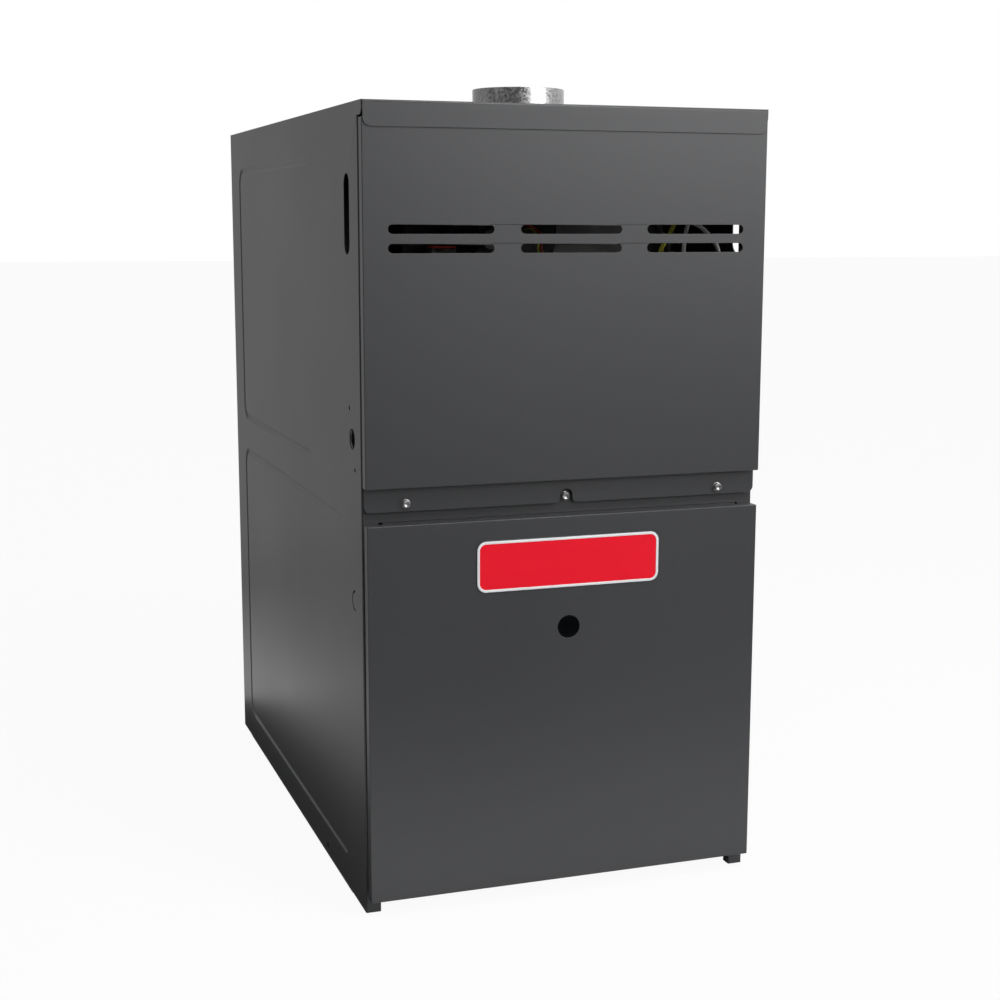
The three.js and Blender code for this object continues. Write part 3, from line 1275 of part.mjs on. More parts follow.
const motorX1 = -HUB_LENGTH / 2 - MOTOR_FROM_HUB;
const motorX0 = motorX1 - MOTOR_LENGTH;
const shaftEndX = HUB_LENGTH / 2 + 4;

const shaft = rod("x", 0, 0, SHAFT_RADIUS, motorX0 + 20, shaftEndX, 16);
place(airside, "blower_shaft", shaft, zinc, [0, blowerY, blowerZ]);

function blowerMotor() {
  const shell = turned("x", [
    [0, motorX0], [MOTOR_RADIUS - 22, motorX0], [MOTOR_RADIUS, motorX0 + 14], [MOTOR_RADIUS, motorX1 - 12],
    [MOTOR_RADIUS - 24, motorX1], [0, motorX1], [0, motorX0],
  ], 28);
  return cut(shell, rod("x", 0, 0, SHAFT_RADIUS + SHAFT_PLAY, motorX0 + 18, motorX1 + CUT, 16));
}
place(airside, "blower_motor", blowerMotor(), blackPaint, [0, blowerY, blowerZ]);

// A belly band round the motor with three arms bolted to the housing's side.
function motorMount() {
  const side = -blowerHalf - CLEARANCE;
  const inner = MOTOR_RADIUS + CLEARANCE;
  const outer = inner + BAND_SHEET;
  const x1 = side;
  const x0 = x1 - BAND_WIDTH;
  const band = turned("x", [[inner, x0], [outer, x0], [outer, x1], [inner, x1], [inner, x0]], 28);
  const arms = Array.from({ length: ARMS }, (_, i) => {
    const arm = new THREE.BoxGeometry(BAND_SHEET, ARM_WIDTH, ARM_LENGTH + BAND_SHEET);
    arm.translate(x1 - BAND_SHEET / 2, 0, (inner + outer) / 2 + (ARM_LENGTH + BAND_SHEET) / 2);
    return toSolid(arm, new THREE.Matrix4().makeRotationX((2 * Math.PI * i) / ARMS));
  });
  return join(band, ...arms);
}
place(airside, "motor_mount", motorMount(), zinc, [0, blowerY, blowerZ]);

const capacitorZ1 = blowerTop - 24;
const capacitorX = -blowerHalf - CLEARANCE - 1.2 - CAPACITOR_RADIUS;
const capacitorY = (outletY[0] + outletY[1]) / 2;

// Can on a strap plate against the housing's side.
function capacitor() {
  const z0 = capacitorZ1 - CAPACITOR_LENGTH;
  const plateX = -blowerHalf - CLEARANCE;
  return join(
    rod("z", capacitorX, capacitorY, CAPACITOR_RADIUS, z0, capacitorZ1, 16),
    block(plateX - 4, plateX, capacitorY - 34, capacitorY + 34, z0 + 30, z0 + 50),
    block(capacitorX - 8, capacitorX - 4, capacitorY - 2, capacitorY + 2, capacitorZ1 - 1, capacitorZ1 + 7),
    block(capacitorX + 4, capacitorX + 8, capacitorY - 2, capacitorY + 2, capacitorZ1 - 1, capacitorZ1 + 7),
  );
}
place(airside, "run_capacitor", capacitor(), castAluminium);

// ---------------------------------------------------------------- doors
// A folded pan: a face with a return along each of its four edges.
function doorPan(halfX, z0, z1) {
  return cut(
    block(-halfX, halfX, doorY, skirtBackY, z0, z1),
    block(SHEET - halfX, halfX - SHEET, doorBackY, skirtBackY + CUT, z0 + SHEET, z1 - SHEET),
  );
}

const louvreZ = HEIGHT - LOUVRE_TOP_DROP;

function upperDoor() {
  const halfX = sideX - UPPER_DOOR_INSET;
  const skirtX = halfX - SKIRT_INSET;
  const top = lipBottom + LIP_OVERLAP;
  const corner = (x, from) => arc(x, skirtBottom + SKIRT_CORNER, SKIRT_CORNER, from, from + 90, 3);
  const skirt = outline([
    ...corner(SKIRT_CORNER - skirtX, 180),
    ...corner(skirtX - SKIRT_CORNER, 270),
    new THREE.Vector2(skirtX, upperDoorBottom + SHEET),
    new THREE.Vector2(-skirtX, upperDoorBottom + SHEET),
  ]);
  const notchTop = skirtBottom + NOTCH_HEIGHT;
  const mouth = NOTCH_RADIUS + NOTCH_CORNER;
  const notch = outline([
    new THREE.Vector2(-mouth, skirtBottom - CUT),
    ...arc(-mouth, skirtBottom + NOTCH_CORNER, NOTCH_CORNER, 270, 360, 3),
    ...arc(0, notchTop - NOTCH_RADIUS, NOTCH_RADIUS, 180, 0, 6),
    ...arc(mouth, skirtBottom + NOTCH_CORNER, NOTCH_CORNER, 180, 270, 3),
    new THREE.Vector2(mouth, skirtBottom - CUT),
  ]);
  const louvres = [];
  for (let column = 0; column < LOUVRE_COLUMNS; column++) {
    for (let row = 0; row < LOUVRE_ROWS; row++) {
      const x = (column - (LOUVRE_COLUMNS - 1) / 2) * LOUVRE_PITCH_X;
      const shape = obround(x, louvreZ - row * LOUVRE_PITCH_Z, LOUVRE_LENGTH, LOUVRE_HEIGHT, 3);
      louvres.push(prism("y", shape, doorY - CUT, doorBackY + CUT));
    }
  }
  const hole = (x) =>
    rod("y", x, doorScrewZ, SCREW_SHANK / 2 + CLEARANCE, skirtY - CUT, skirtBackY + CUT, 12);
  return cut(
    join(
      doorPan(halfX, upperDoorBottom, top),
      prism("y", skirt, skirtY, skirtBackY),
    ),
    prism("y", notch, skirtY - CUT, skirtBackY + CUT),
    ...louvres,
    hole(screwXs[0]),
    hole(screwXs[2]),
  );
}
place(doors, "upper_door", upperDoor(), paint);

function lowerDoor() {
  const halfX = sideX - LOWER_DOOR_INSET;
  const tabX = slotHalf - TAB_END_PLAY;
  return cut(
    join(
      doorPan(halfX, LOWER_DOOR_BOTTOM, LOWER_DOOR_TOP),
      block(-tabX, tabX, skirtY, frontY + TAB_REACH, LOWER_DOOR_TOP - SHEET, LOWER_DOOR_TOP),
    ),
    rod("y", 0, SIGHT_Z, SIGHT_DIAMETER / 2, doorY - CUT, doorBackY + CUT, 24),
  );
}
place(doors, "lower_door", lowerDoor(), paint);

const sightRadius = SIGHT_DIAMETER / 2 - CLEARANCE;
const sightGlass = turned("y", [
  [0, doorY + 0.2], [sightRadius, doorY + 0.2], [sightRadius, doorBackY + CLEARANCE],
  [sightRadius + SIGHT_RIM, doorBackY + CLEARANCE], [sightRadius + SIGHT_RIM, doorBackY + 2.4],
  [0, doorBackY + 2.4], [0, doorY + 0.2],
], 24);
place(doors, "sight_glass", sightGlass, smokedGlass, [0, 0, SIGHT_Z]);

const plateX = PLATE_WIDTH / 2;
const plateZ = [PLATE_Z - PLATE_HEIGHT / 2, PLATE_Z + PLATE_HEIGHT / 2];
const plateShape = roundRect(-plateX, plateX, ...plateZ, PLATE_CORNER, 4);
place(doors, "name_plate", prism("y", plateShape, doorY - PLATE_THICK, doorY), plateRed);

// Hexagon washer-head screw along Y, bearing on y = 0 with its head towards the front.
function screw() {
  const hex = SCREW_HEX / Math.sqrt(3); // radius over the corners
  const washer = -SCREW_WASHER_THICK;
  return join(
    rod("y", 0, 0, SCREW_SHANK / 2, washer, SCREW_LENGTH, 10),
    rod("y", 0, 0, SCREW_WASHER / 2, washer, 0, 16),
    rod("y", 0, 0, hex, -SCREW_HEAD, washer, 6),
  );
}
const screwSolid = screw();
place(doors, "door_screw_left", screwSolid, zinc, [screwXs[0], skirtY, doorScrewZ]);
place(cabinet, "rail_screw", screwSolid, zinc, [screwXs[1], railY, railScrewZ]);
place(doors, "door_screw_right", screwSolid, zinc, [screwXs[2], skirtY, doorScrewZ]);

export default furnace;
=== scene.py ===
# Forced air gas furnace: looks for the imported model. Sizes are in millimetres, as in the part's source,
# and turned into metres where a piece is made.
import json
import math

import bmesh
import bpy
from mathutils import Matrix, Vector, noise
from mathutils.geometry import tessellate_polygon

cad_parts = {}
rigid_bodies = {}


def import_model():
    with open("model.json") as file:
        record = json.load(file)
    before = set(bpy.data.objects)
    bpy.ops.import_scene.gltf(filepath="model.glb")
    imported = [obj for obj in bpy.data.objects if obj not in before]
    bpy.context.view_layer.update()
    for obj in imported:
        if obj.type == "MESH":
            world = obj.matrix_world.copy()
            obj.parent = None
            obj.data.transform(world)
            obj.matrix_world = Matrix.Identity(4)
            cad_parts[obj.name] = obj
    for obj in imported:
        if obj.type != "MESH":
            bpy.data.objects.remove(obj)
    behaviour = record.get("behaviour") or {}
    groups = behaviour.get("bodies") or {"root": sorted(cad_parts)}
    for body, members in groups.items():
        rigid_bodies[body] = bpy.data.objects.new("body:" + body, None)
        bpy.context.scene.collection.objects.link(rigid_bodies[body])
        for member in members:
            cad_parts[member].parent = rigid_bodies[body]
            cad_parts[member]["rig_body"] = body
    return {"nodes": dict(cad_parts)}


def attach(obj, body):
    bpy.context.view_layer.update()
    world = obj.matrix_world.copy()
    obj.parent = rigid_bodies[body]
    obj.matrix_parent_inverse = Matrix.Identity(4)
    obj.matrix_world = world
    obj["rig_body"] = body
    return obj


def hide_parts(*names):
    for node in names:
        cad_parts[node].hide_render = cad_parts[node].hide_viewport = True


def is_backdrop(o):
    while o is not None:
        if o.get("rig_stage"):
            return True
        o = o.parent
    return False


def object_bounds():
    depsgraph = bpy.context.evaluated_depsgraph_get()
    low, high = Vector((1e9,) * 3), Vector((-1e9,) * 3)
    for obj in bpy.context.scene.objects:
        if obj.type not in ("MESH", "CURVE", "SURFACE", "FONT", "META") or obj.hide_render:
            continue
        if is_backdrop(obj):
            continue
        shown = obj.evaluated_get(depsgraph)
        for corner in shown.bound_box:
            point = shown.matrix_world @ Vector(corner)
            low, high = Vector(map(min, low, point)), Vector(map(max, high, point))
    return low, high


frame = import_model()
cad_box = [list(corner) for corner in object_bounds()]
nodes = frame["nodes"]
MM = 0.001

# ---------------------------------------------------------------- levels, as the solids have them
SIDE_X, FIT_X = 222.25, 220.95
FRONT_Y, BACK_Y, LIP_Y, DOOR_Y = -348.2, 366.2, -366.2, -364.8
SKIRT_Y, RAIL_Y = -354.2, -349.5
HEIGHT, SHEET = 847.7, 1.0
LIP_BOTTOM, TAB_BOTTOM = 821.9, 833.2
UPPER_HALF, UPPER_BOTTOM, UPPER_TOP = 221.95, 461.5, 831.4
LOWER_HALF, LOWER_BOTTOM, LOWER_TOP = 220.9, 19.0, 423.2
SKIRT_HALF, SKIRT_BOTTOM, SKIRT_CORNER = 221.15, 435.7, 7.0
SCREW_XS, DOOR_SCREW_Z, RAIL_SCREW_Z = (-177.0, 0.0, 177.0), 444.0, 442.3
VENT_Y, VENT_R, VENT_RIM, VENT_PLATE_Z = -197.5, 50.8, 873.7, 801.7
VESTIBULE_Y, BURNER_Z, INDUCER_Z = -143.2, 520.3, 711.7
TUBE_XS = (-126.0, -42.0, 42.0, 126.0)
BURNER_FRONT_Y = -277.2
REAR_BEND_Y, FRONT_BEND_Y, PASS_RISE = 286.0, -80.3, 63.8
FIRST_PASS, LAST_PASS = 22.0, 17.5
SIGHT_Z, SIGHT_BORE = 302.7, 12.5
PLATE_Z, PLATE_WIDTH, PLATE_HEIGHT, PLATE_CORNER = 373.6, 208.7, 56.5, 11
LOUVRE_LENGTH, LOUVRE_HEIGHT, LOUVRE_PITCH, LOUVRE_ZS = 111.4, 9.4, 140.2, (722.4, 703.3)
TAB_HALF, TAB_RISE = 201, 1.12
GAS_ENTRY = (FRONT_Y + 47, 737.5, 22.5, 82)
CONDUIT_Y, CONDUIT_Z, CONDUIT_BORE = FRONT_Y + 35.6, 507.5, 11.1
KNOCK_OUT_Y, KNOCK_OUT_Z = FRONT_Y + 33, 336.4
DATUM_HOLE_Y, DATUM_HOLE_Z = FRONT_Y + 178.6, 12.4
SCREW_FLATS, SCREW_HEAD, SCREW_SHANK = 7.94, 4.6, 10.9


# ---------------------------------------------------------------- outlines in a plane
def arc(u, v, radius, start, end, steps):
    angles = [math.radians(start + (end - start) * i / steps) for i in range(steps + 1)]
    return [(u + radius * math.cos(a), v + radius * math.sin(a)) for a in angles]


def disc(u, v, radius, steps=48):
    return arc(u, v, radius, 0, 360 - 360 / steps, steps - 1)


def round_rect(u0, u1, v0, v1, radius, steps=6):
    return [
        *arc(u1 - radius, v0 + radius, radius, -90, 0, steps),
        *arc(u1 - radius, v1 - radius, radius, 0, 90, steps),
        *arc(u0 + radius, v1 - radius, radius, 90, 180, steps),
        *arc(u0 + radius, v0 + radius, radius, 180, 270, steps),
    ]


def obround(u, v, width, height, steps=10):
    r = min(width, height) / 2
    if width > height:
        w = width / 2 - r
        return [*arc(u + w, v, r, -90, 90, 2 * steps), *arc(u - w, v, r, 90, 270, 2 * steps)]
    w = height / 2 - r
    return [*arc(u, v + w, r, 0, 180, 2 * steps), *arc(u, v - w, r, 180, 360, 2 * steps)]


# ---------------------------------------------------------------- meshes
class Skin:
    """Points and faces in millimetres that share their corners."""

    def __init__(self):
        self.points, self.faces, self.parts, self.ids, self.flat = [], [], [], {}, []

    def id(self, point):
        key = tuple(round(c, 3) for c in point)
        if key not in self.ids:
            self.ids[key] = len(self.points)
            self.points.append(key)
        return self.ids[key]

    def face(self, corners, part=0, flat=True):
        ids = [self.id(p) for p in corners]
        ids = [a for i, a in enumerate(ids) if a != ids[i - 1]]
        if len(ids) > 2 and len(set(ids)) == len(ids):
            self.faces.append(ids)
            self.parts.append(part)
            self.flat.append(flat)

    def strip(self, rows, closed=False, part=0, flat=False):
        for a, b in zip(rows, rows[1:]):
            for i in range(len(a) if closed else len(a) - 1):
                j = (i + 1) % len(a)
                self.face([a[i], a[j], b[j], b[i]], part, flat)

    def fill(self, loops, place, part=0):
        flat = [p for loop in loops for p in loop]
        for corners in tessellate_polygon([[Vector((u, v, 0)) for u, v in loop] for loop in loops]):
            self.face([place(*flat[i]) for i in corners], part)

    def mesh(self, out=None):
        """The mesh in metres; out is the direction that its largest face looks in."""
        bm = bmesh.new()
        verts = [bm.verts.new([c * MM for c in p]) for p in self.points]
        for ids, part, flat in zip(self.faces, self.parts, self.flat):
            try:
                made = bm.faces.new([verts[i] for i in ids])
            except ValueError:
                continue
            made.material_index = part
            made.smooth = not flat
        bmesh.ops.recalc_face_normals(bm, faces=bm.faces)
        if out:
            bm.faces.ensure_lookup_table()
            largest = max(bm.faces, key=lambda f: f.calc_area())
            if largest.normal.dot(Vector(out)) < 0:
                bmesh.ops.reverse_faces(bm, faces=bm.faces)
        made = bpy.data.meshes.new("skin")
        bm.to_mesh(made)
        bm.free()
        return made


def evaluated(mesh, *settings):
    """The mesh with modifiers applied, each given as its kind and its settings."""
    holder = bpy.data.objects.new("holder", mesh)
    bpy.context.scene.collection.objects.link(holder)
    for kind, values in settings:
        modifier = holder.modifiers.new(kind, kind)
        for key, value in values.items():
            setattr(modifier, key, value)
    graph = bpy.context.evaluated_depsgraph_get()
    made = bpy.data.meshes.new_from_object(holder.evaluated_get(graph))
    bpy.data.objects.remove(holder)
    return made


def sheet(skin, out, thick=SHEET):
    """A sheet of metal: the skin is its outer side, and the thickness goes inwards."""
    settings = {"thickness": thick * MM, "offset": -1.0}
    return evaluated(skin.mesh(out), ("SOLIDIFY", settings))


def piece(name, meshes, body, finishes, stands_for=(), bevel=0.22, segments=2, angle=32,
          weighted=False):
    """One object from several meshes, with fine rounded edges."""
    meshes = meshes if isinstance(meshes, (list, tuple)) else [meshes]
    finishes = finishes if isinstance(finishes, (list, tuple)) else [finishes]
    bm = bmesh.new()
    for mesh in meshes:
        bm.from_mesh(mesh)
    data = bpy.data.meshes.new(name)
    bm.to_mesh(data)
    bm.free()
    for finish in finishes:
        data.materials.append(finish)
    obj = bpy.data.objects.new(name, data)
    bpy.context.scene.collection.objects.link(obj)
    if bevel:
        edges = obj.modifiers.new("edges", "BEVEL")
        edges.width, edges.segments = bevel * MM, segments
        edges.limit_method, edges.angle_limit = "ANGLE", math.radians(angle)
        edges.use_clamp_overlap = False
        edges.miter_outer = "MITER_ARC"
    if weighted:
        normals = obj.modifiers.new("normals", "WEIGHTED_NORMAL")
        normals.mode, normals.keep_sharp = "FACE_AREA", True
    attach(obj, body)
    if stands_for:
        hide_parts(*([stands_for] if isinstance(stands_for, str) else stands_for))
    return obj


def dressed(name, finish, bevel=0.3, angle=32, node=None):
    """A piece that keeps its solid's form and gets fine rounded edges and smooth curves."""
    source = nodes[node or name]
    bm = bmesh.new()
    bm.from_mesh(source.data)
    bmesh.ops.remove_doubles(bm, verts=bm.verts, dist=2e-5)
    bmesh.ops.dissolve_limit(bm, angle_limit=math.radians(0.6), verts=bm.verts, edges=bm.edges)
    for f in bm.faces:
        f.material_index, f.smooth = 0, True
    data = bpy.data.meshes.new(name)
    bm.to_mesh(data)
    bm.free()
    body = source["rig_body"]
    return piece("v_" + name, data, body, finish, node or name, bevel, 2, angle, weighted=True)


AXES = {
    "x": lambda r, a, w: (w, r * math.cos(a), r * math.sin(a)),
    "y": lambda r, a, w: (r * math.sin(a), w, r * math.cos(a)),
    "z": lambda r, a, w: (r * math.cos(a), r * math.sin(a), w),
}


def turned(skin, axis, centre, profile, steps=48, part=0):
    """A turned form: pairs of radius and place along the axis, closed on itself or ended on the axis."""
    def ring(radius, along):
        points = []
        for i in range(steps):
            p = AXES[axis](radius, 2 * math.pi * i / steps, along)
            points.append(tuple(c + o for c, o in zip(p, centre)))
        return points

    skin.strip([ring(r, w) for r, w in profile], closed=True, part=part)


def smooth_path(points, steps=6):
    """A smooth curve through the points."""
    pts = [Vector(p) for p in points]
    ends = [2 * pts[0] - pts[1], *pts, 2 * pts[-1] - pts[-2]]
    path = []
    for i in range(1, len(ends) - 2):
        a, b, c, d = ends[i - 1 : i + 3]
        for k in range(steps):
            t = k / steps
            path.append(
                0.5 * (2 * b + (c - a) * t + (2 * a - 5 * b + 4 * c - d) * t * t
                       + (3 * b - a - 3 * c + d) * t ** 3)
            )
    return [*path, pts[-1]]


def swept(skin, path, radii, sides=20, wall=0.0, part=0):
    """A tube along a path, solid with flat ends or with a wall and open ends."""
    path = [Vector(p) for p in path]
    radii = radii if isinstance(radii, (list, tuple)) else [radii] * len(path)
    along = []
    for i in range(len(path)):
        a = (path[i] - path[i - 1]).normalized() if i else Vector()
        b = (path[i + 1] - path[i]).normalized() if i < len(path) - 1 else Vector()
        along.append((a + b).normalized())
    helper = Vector((1, 0, 0)) if abs(along[0].x) < 0.9 else Vector((0, 1, 0))
    normal = helper.cross(along[0]).normalized()
    outer, inner = [], []
    for p, d, r in zip(path, along, radii):
        normal = (normal - d * normal.dot(d)).normalized()
        side = d.cross(normal)
        turns = [2 * math.pi * k / sides for k in range(sides)]
        at = lambda radius: [tuple(p + (normal * math.cos(t) + side * math.sin(t)) * radius) for t in turns]
        outer.append(at(r))
        inner.append(at(r - wall))
    skin.strip(outer, closed=True, part=part)
    if wall:
        skin.strip(inner, closed=True, part=part)
        for i in (0, -1):
            skin.strip([outer[i], inner[i]], closed=True, part=part)
    else:
        skin.face(outer[0], part)
        skin.face(outer[-1], part)


def block(skin, x0, x1, y0, y1, z0, z1, part=0):
    ring = [(x0, y0), (x1, y0), (x1, y1), (x0, y1)]
    low, high = [(x, y, z0) for x, y in ring], [(x, y, z1) for x, y in ring]
    skin.strip([low, high], closed=True, part=part)
    skin.face(low, part)
    skin.face(high, part)


# ---------------------------------------------------------------- finishes
class Finish:
    """A procedural finish on the Principled shader, in the object's own coordinates."""

    def __init__(self, name, colour, rough, metal=0.0, specular=0.5, coat=0.0):
        self.material = bpy.data.materials.new(name)
        self.material.use_nodes = True
        self.tree = self.material.node_tree
        self.shader = self.tree.nodes["Principled BSDF"]
        self.colour = colour
        for socket, value in (
            ("Base Color", (*colour, 1)), ("Roughness", rough), ("Metallic", metal),
            ("Specular IOR Level", specular), ("Coat Weight", coat),
        ):
            self.shader.inputs[socket].default_value = value
        self.place = self.tree.nodes.new("ShaderNodeTexCoord").outputs["Object"]
        self.relief = None

    def node(self, kind, inputs=None, **values):
        made = self.tree.nodes.new(kind)
        for key, value in values.items():
            setattr(made, key, value)
        for key, value in (inputs or {}).items():
            if isinstance(value, bpy.types.NodeSocket):
                self.tree.links.new(value, made.inputs[key])
            else:
                made.inputs[key].default_value = value
        return made

    def mapped(self, stretch):
        if not stretch:
            return self.place
        return self.node("ShaderNodeMapping", {"Vector": self.place, "Scale": stretch}).outputs["Vector"]

    def noise(self, scale, detail=2.0, rough=0.5, stretch=None):
        values = {"Vector": self.mapped(stretch), "Scale": scale, "Detail": detail, "Roughness": rough}
        return self.node("ShaderNodeTexNoise", values).outputs["Fac"]

    def cells(self, scale, output="Color", stretch=None, **values):
        inputs = {"Vector": self.mapped(stretch), "Scale": scale}
        made = self.node("ShaderNodeTexVoronoi", inputs, **values).outputs[output]
        if output != "Color":
            return made
        return self.node("ShaderNodeSeparateColor", {"Color": made}).outputs["Red"]

    def between(self, value, low, high, start=0.0, end=1.0):
        inputs = {"Value": value, "From Min": start, "From Max": end, "To Min": low, "To Max": high}
        return self.node("ShaderNodeMapRange", inputs).outputs["Result"]

    def sum(self, a, b, share=0.5):
        scaled = self.node("ShaderNodeMath", {0: b, 1: share}, operation="MULTIPLY").outputs[0]
        kept = self.node("ShaderNodeMath", {0: a, 1: 1 - share}, operation="MULTIPLY").outputs[0]
        return self.node("ShaderNodeMath", {0: kept, 1: scaled}, operation="ADD").outputs[0]

    def ramp(self, value, stops):
        made = self.node("ShaderNodeValToRGB", {"Fac": value})
        elements = made.color_ramp.elements
        while len(elements) < len(stops):
            elements.new(0.5)
        for element, (at, colour) in zip(elements, stops):
            element.position, element.color = at, (*colour, 1)
        return made.outputs["Color"]

    def tint(self, value, low, high):
        """The base colour made darker and lighter by the value."""
        shade = lambda k: tuple(min(1.0, c * k) for c in self.colour)
        self.base(self.ramp(value, [(0.25, shade(low)), (0.75, shade(high))]))

    def base(self, colour):
        self.tree.links.new(colour, self.shader.inputs["Base Color"])

    def gloss(self, value):
        self.tree.links.new(value, self.shader.inputs["Roughness"])

    def bump(self, height, depth, strength=1.0):
        """Relief of a depth in millimetres, laid over what is there already."""
        inputs = {"Height": height, "Distance": depth * MM, "Strength": strength}
        if self.relief:
            inputs["Normal"] = self.relief
        self.relief = self.node("ShaderNodeBump", inputs).outputs["Normal"]
        self.tree.links.new(self.relief, self.shader.inputs["Normal"])


def linear(*values):
    """An sRGB colour of 0 to 255 as the shader's linear one."""
    parts = [v / 255 for v in values]
    return tuple(c / 12.92 if c <= 0.04045 else ((c + 0.055) / 1.055) ** 2.4 for c in parts)


def painted(name, colour, rough, specular=0.5, peel=0.008):
    """Baked enamel on steel: fine orange peel, faint patches in tone and gloss."""
    f = Finish(name, colour, rough, specular=specular)
    patches = f.noise(3.0, 2.0)
    grain = f.noise(900.0, 2.0)
    f.tint(f.sum(patches, grain, 0.6), 0.92, 1.08)
    f.gloss(f.between(f.noise(3.5, 2.0), rough - 0.015, rough + 0.015, 0.3, 0.7))
    f.bump(f.noise(420.0, 2.0), peel)
    return f.material


def plated(name, colour, rough, scale=110.0, low=0.72, high=1.18, fine=700.0):
    """Zinc-coated steel: crystal spangle in tone and gloss, and fine rolling marks."""
    f = Finish(name, colour, rough, metal=0.92)
    spangle = f.cells(scale)
    patches = f.noise(14.0, 3.0)
    f.tint(f.sum(spangle, patches, 0.35), low, high)
    f.gloss(f.between(f.sum(spangle, f.noise(60.0, 3.0), 0.5), rough - 0.12, rough + 0.14, 0.2, 0.8))
    f.bump(f.noise(fine, 2.0), 0.01)
    f.bump(f.noise(6.0, 1.0), 0.10)
    return f.material


def metal(name, colour, rough, grain=350.0, depth=0.02, low=0.8, high=1.15, stretch=None):
    """Bare or lightly coated metal with a grain, brushed where it is stretched."""
    f = Finish(name, colour, rough, metal=0.95)
    f.tint(f.sum(f.noise(20.0, 4.0), f.noise(grain, 3.0, stretch=stretch), 0.5), low, high)
    f.gloss(f.between(f.noise(grain / 4, 4.0, stretch=stretch), rough - 0.1, rough + 0.1, 0.3, 0.7))
    f.bump(f.noise(grain, 3.0, stretch=stretch), depth)
    return f.material


def moulded(name, colour, rough, grain=1400.0, depth=0.012, low=0.88, high=1.12, specular=0.5):
    """Moulded plastic, rubber or ceramic with a fine surface grain."""
    f = Finish(name, colour, rough, specular=specular)
    f.tint(f.sum(f.noise(30.0, 3.0), f.noise(grain, 1.0), 0.4), low, high)
    f.gloss(f.between(f.noise(60.0, 3.0), rough - 0.06, rough + 0.06, 0.3, 0.7))
    f.bump(f.noise(grain, 2.0), depth)
    return f.material


def foil_face():
    """Crinkled foil on a glass-wool blanket."""
    f = Finish("foil_blanket", (0.56, 0.57, 0.56), 0.32, metal=0.9)
    creases = f.cells(55.0, "Distance", feature="DISTANCE_TO_EDGE")
    f.tint(f.noise(30.0, 4.0), 0.8, 1.15)
    f.gloss(f.between(f.noise(90.0, 3.0), 0.24, 0.46, 0.3, 0.7))
    f.bump(f.noise(120.0, 5.0, 0.6), 0.5)
    f.bump(creases, 1.6)
    return f.material


def board_face():
    """Solder resist over copper runs."""
    f = Finish("board_green", linear(28, 88, 52), 0.42)
    runs = f.cells(160.0, "Distance", distance="MANHATTAN", feature="DISTANCE_TO_EDGE")
    line = f.between(runs, 0.0, 1.0, 0.05, 0.09)
    f.base(f.ramp(line, [(0.0, linear(62, 122, 70)), (1.0, linear(22, 74, 44))]))
    f.gloss(f.between(f.noise(200.0, 2.0), 0.34, 0.5, 0.3, 0.7))
    f.bump(line, 0.03)
    return f.material


PAINT = painted("cabinet_paint", (0.0360, 0.0366, 0.0387), 0.38)
GALVANISED = plated("galvanised", (0.50, 0.51, 0.52), 0.36)
VENT_METAL = plated("vent_metal", (0.33, 0.33, 0.33), 0.26, scale=420.0, low=0.72, high=1.12, fine=900.0)
ALUMINISED = metal("aluminised", (0.44, 0.44, 0.43), 0.46, grain=260.0, low=0.75, high=1.15)
# Darkened steel: partly real heat tint, partly painted shade, so the parts behind the louvres read dark
STAIN_AND_SHADE = metal("stained_and_shaded_steel", (0.17, 0.165, 0.16), 0.5, grain=260.0, low=0.7, high=1.2)
ZINC = metal("zinc", (0.34, 0.34, 0.34), 0.34, grain=900.0, depth=0.01)
CAST = metal("cast_aluminium", (0.46, 0.47, 0.48), 0.5, grain=900.0, depth=0.06)
RIM = moulded("plate_rim", (0.70, 0.71, 0.72), 0.36, grain=900.0, depth=0.004, low=0.9, high=1.08,
              specular=0.3)
BLACK_PAINT = painted("black_paint", linear(24, 25, 27), 0.48, specular=0.4, peel=0.02)
BLACK_PLASTIC = moulded("black_plastic", linear(30, 30, 32), 0.5)
RED_PLASTIC = moulded("red_plastic", linear(201, 32, 47), 0.36)
PLATE_RED = moulded("plate_red", (0.74, 0.006, 0.020), 0.42, grain=900.0, depth=0.002, low=0.985, high=1.015,
                    specular=0.12)
CERAMIC = moulded("ceramic", linear(217, 213, 202), 0.72, grain=900.0, depth=0.03)
HOSE = moulded("hose_rubber", linear(92, 90, 89), 0.66)
WIRE = moulded("wire_yellow", linear(188, 184, 44), 0.46)
WIRE_RED = moulded("wire_red", linear(196, 62, 34), 0.46)
WIRE_BLUE = moulded("wire_blue", linear(46, 70, 128), 0.46)
WIRE_WHITE = moulded("wire_white", linear(238, 237, 232), 0.5)
FOIL = foil_face()
BOARD = board_face()
# Near-black lens: a real sight glass, its colour painted shade standing in for the dark compartment behind
# the hole
SHADED_LENS = moulded("smoked_glass", (0.002, 0.0025, 0.003), 0.16, grain=200.0, depth=0.002, specular=0.06)

# ---------------------------------------------------------------- cabinet
BEND = 1.5  # outer radius of the sheet's bends


def bend(radius, steps=5):
    """A quarter bend as pairs of inset and depth, from the face round to the side."""
    angles = [math.pi / 2 * i / steps for i in range(steps + 1)]
    return [(radius * (1 - math.sin(a)), radius * (1 - math.cos(a))) for a in angles]


def bead_loop(front, bottom, top, half):
    """The bead's C, open to the front, at a distance on either side of its line."""
    y0, y1 = FRONT_Y + front, BACK_Y - 64 - 20
    corner = lambda z, radius, start, end: arc(y1, z, radius, start, end, 10)
    return [
        *corner(top - 20, 20 + half, 90, 0),
        *corner(bottom + 20, 20 + half, 0, -90),
        *arc(y0, bottom, half, 270, 90, 8),
        *corner(bottom + 20, 20 - half, -90, 0),
        *corner(top - 20, 20 - half, 0, 90),
        *arc(y0, top, half, 270, 90, 8),
    ]


BEAD_PROFILE = [(5.0, 0), (4.5, 0.07), (3.9, 0.32), (3.2, 0.78), (2.4, 1.3), (1.5, 1.74), (0.6, 1.97)]
BEADS = [(239, 465.5, 796.5), (87, 41, 417.2)]


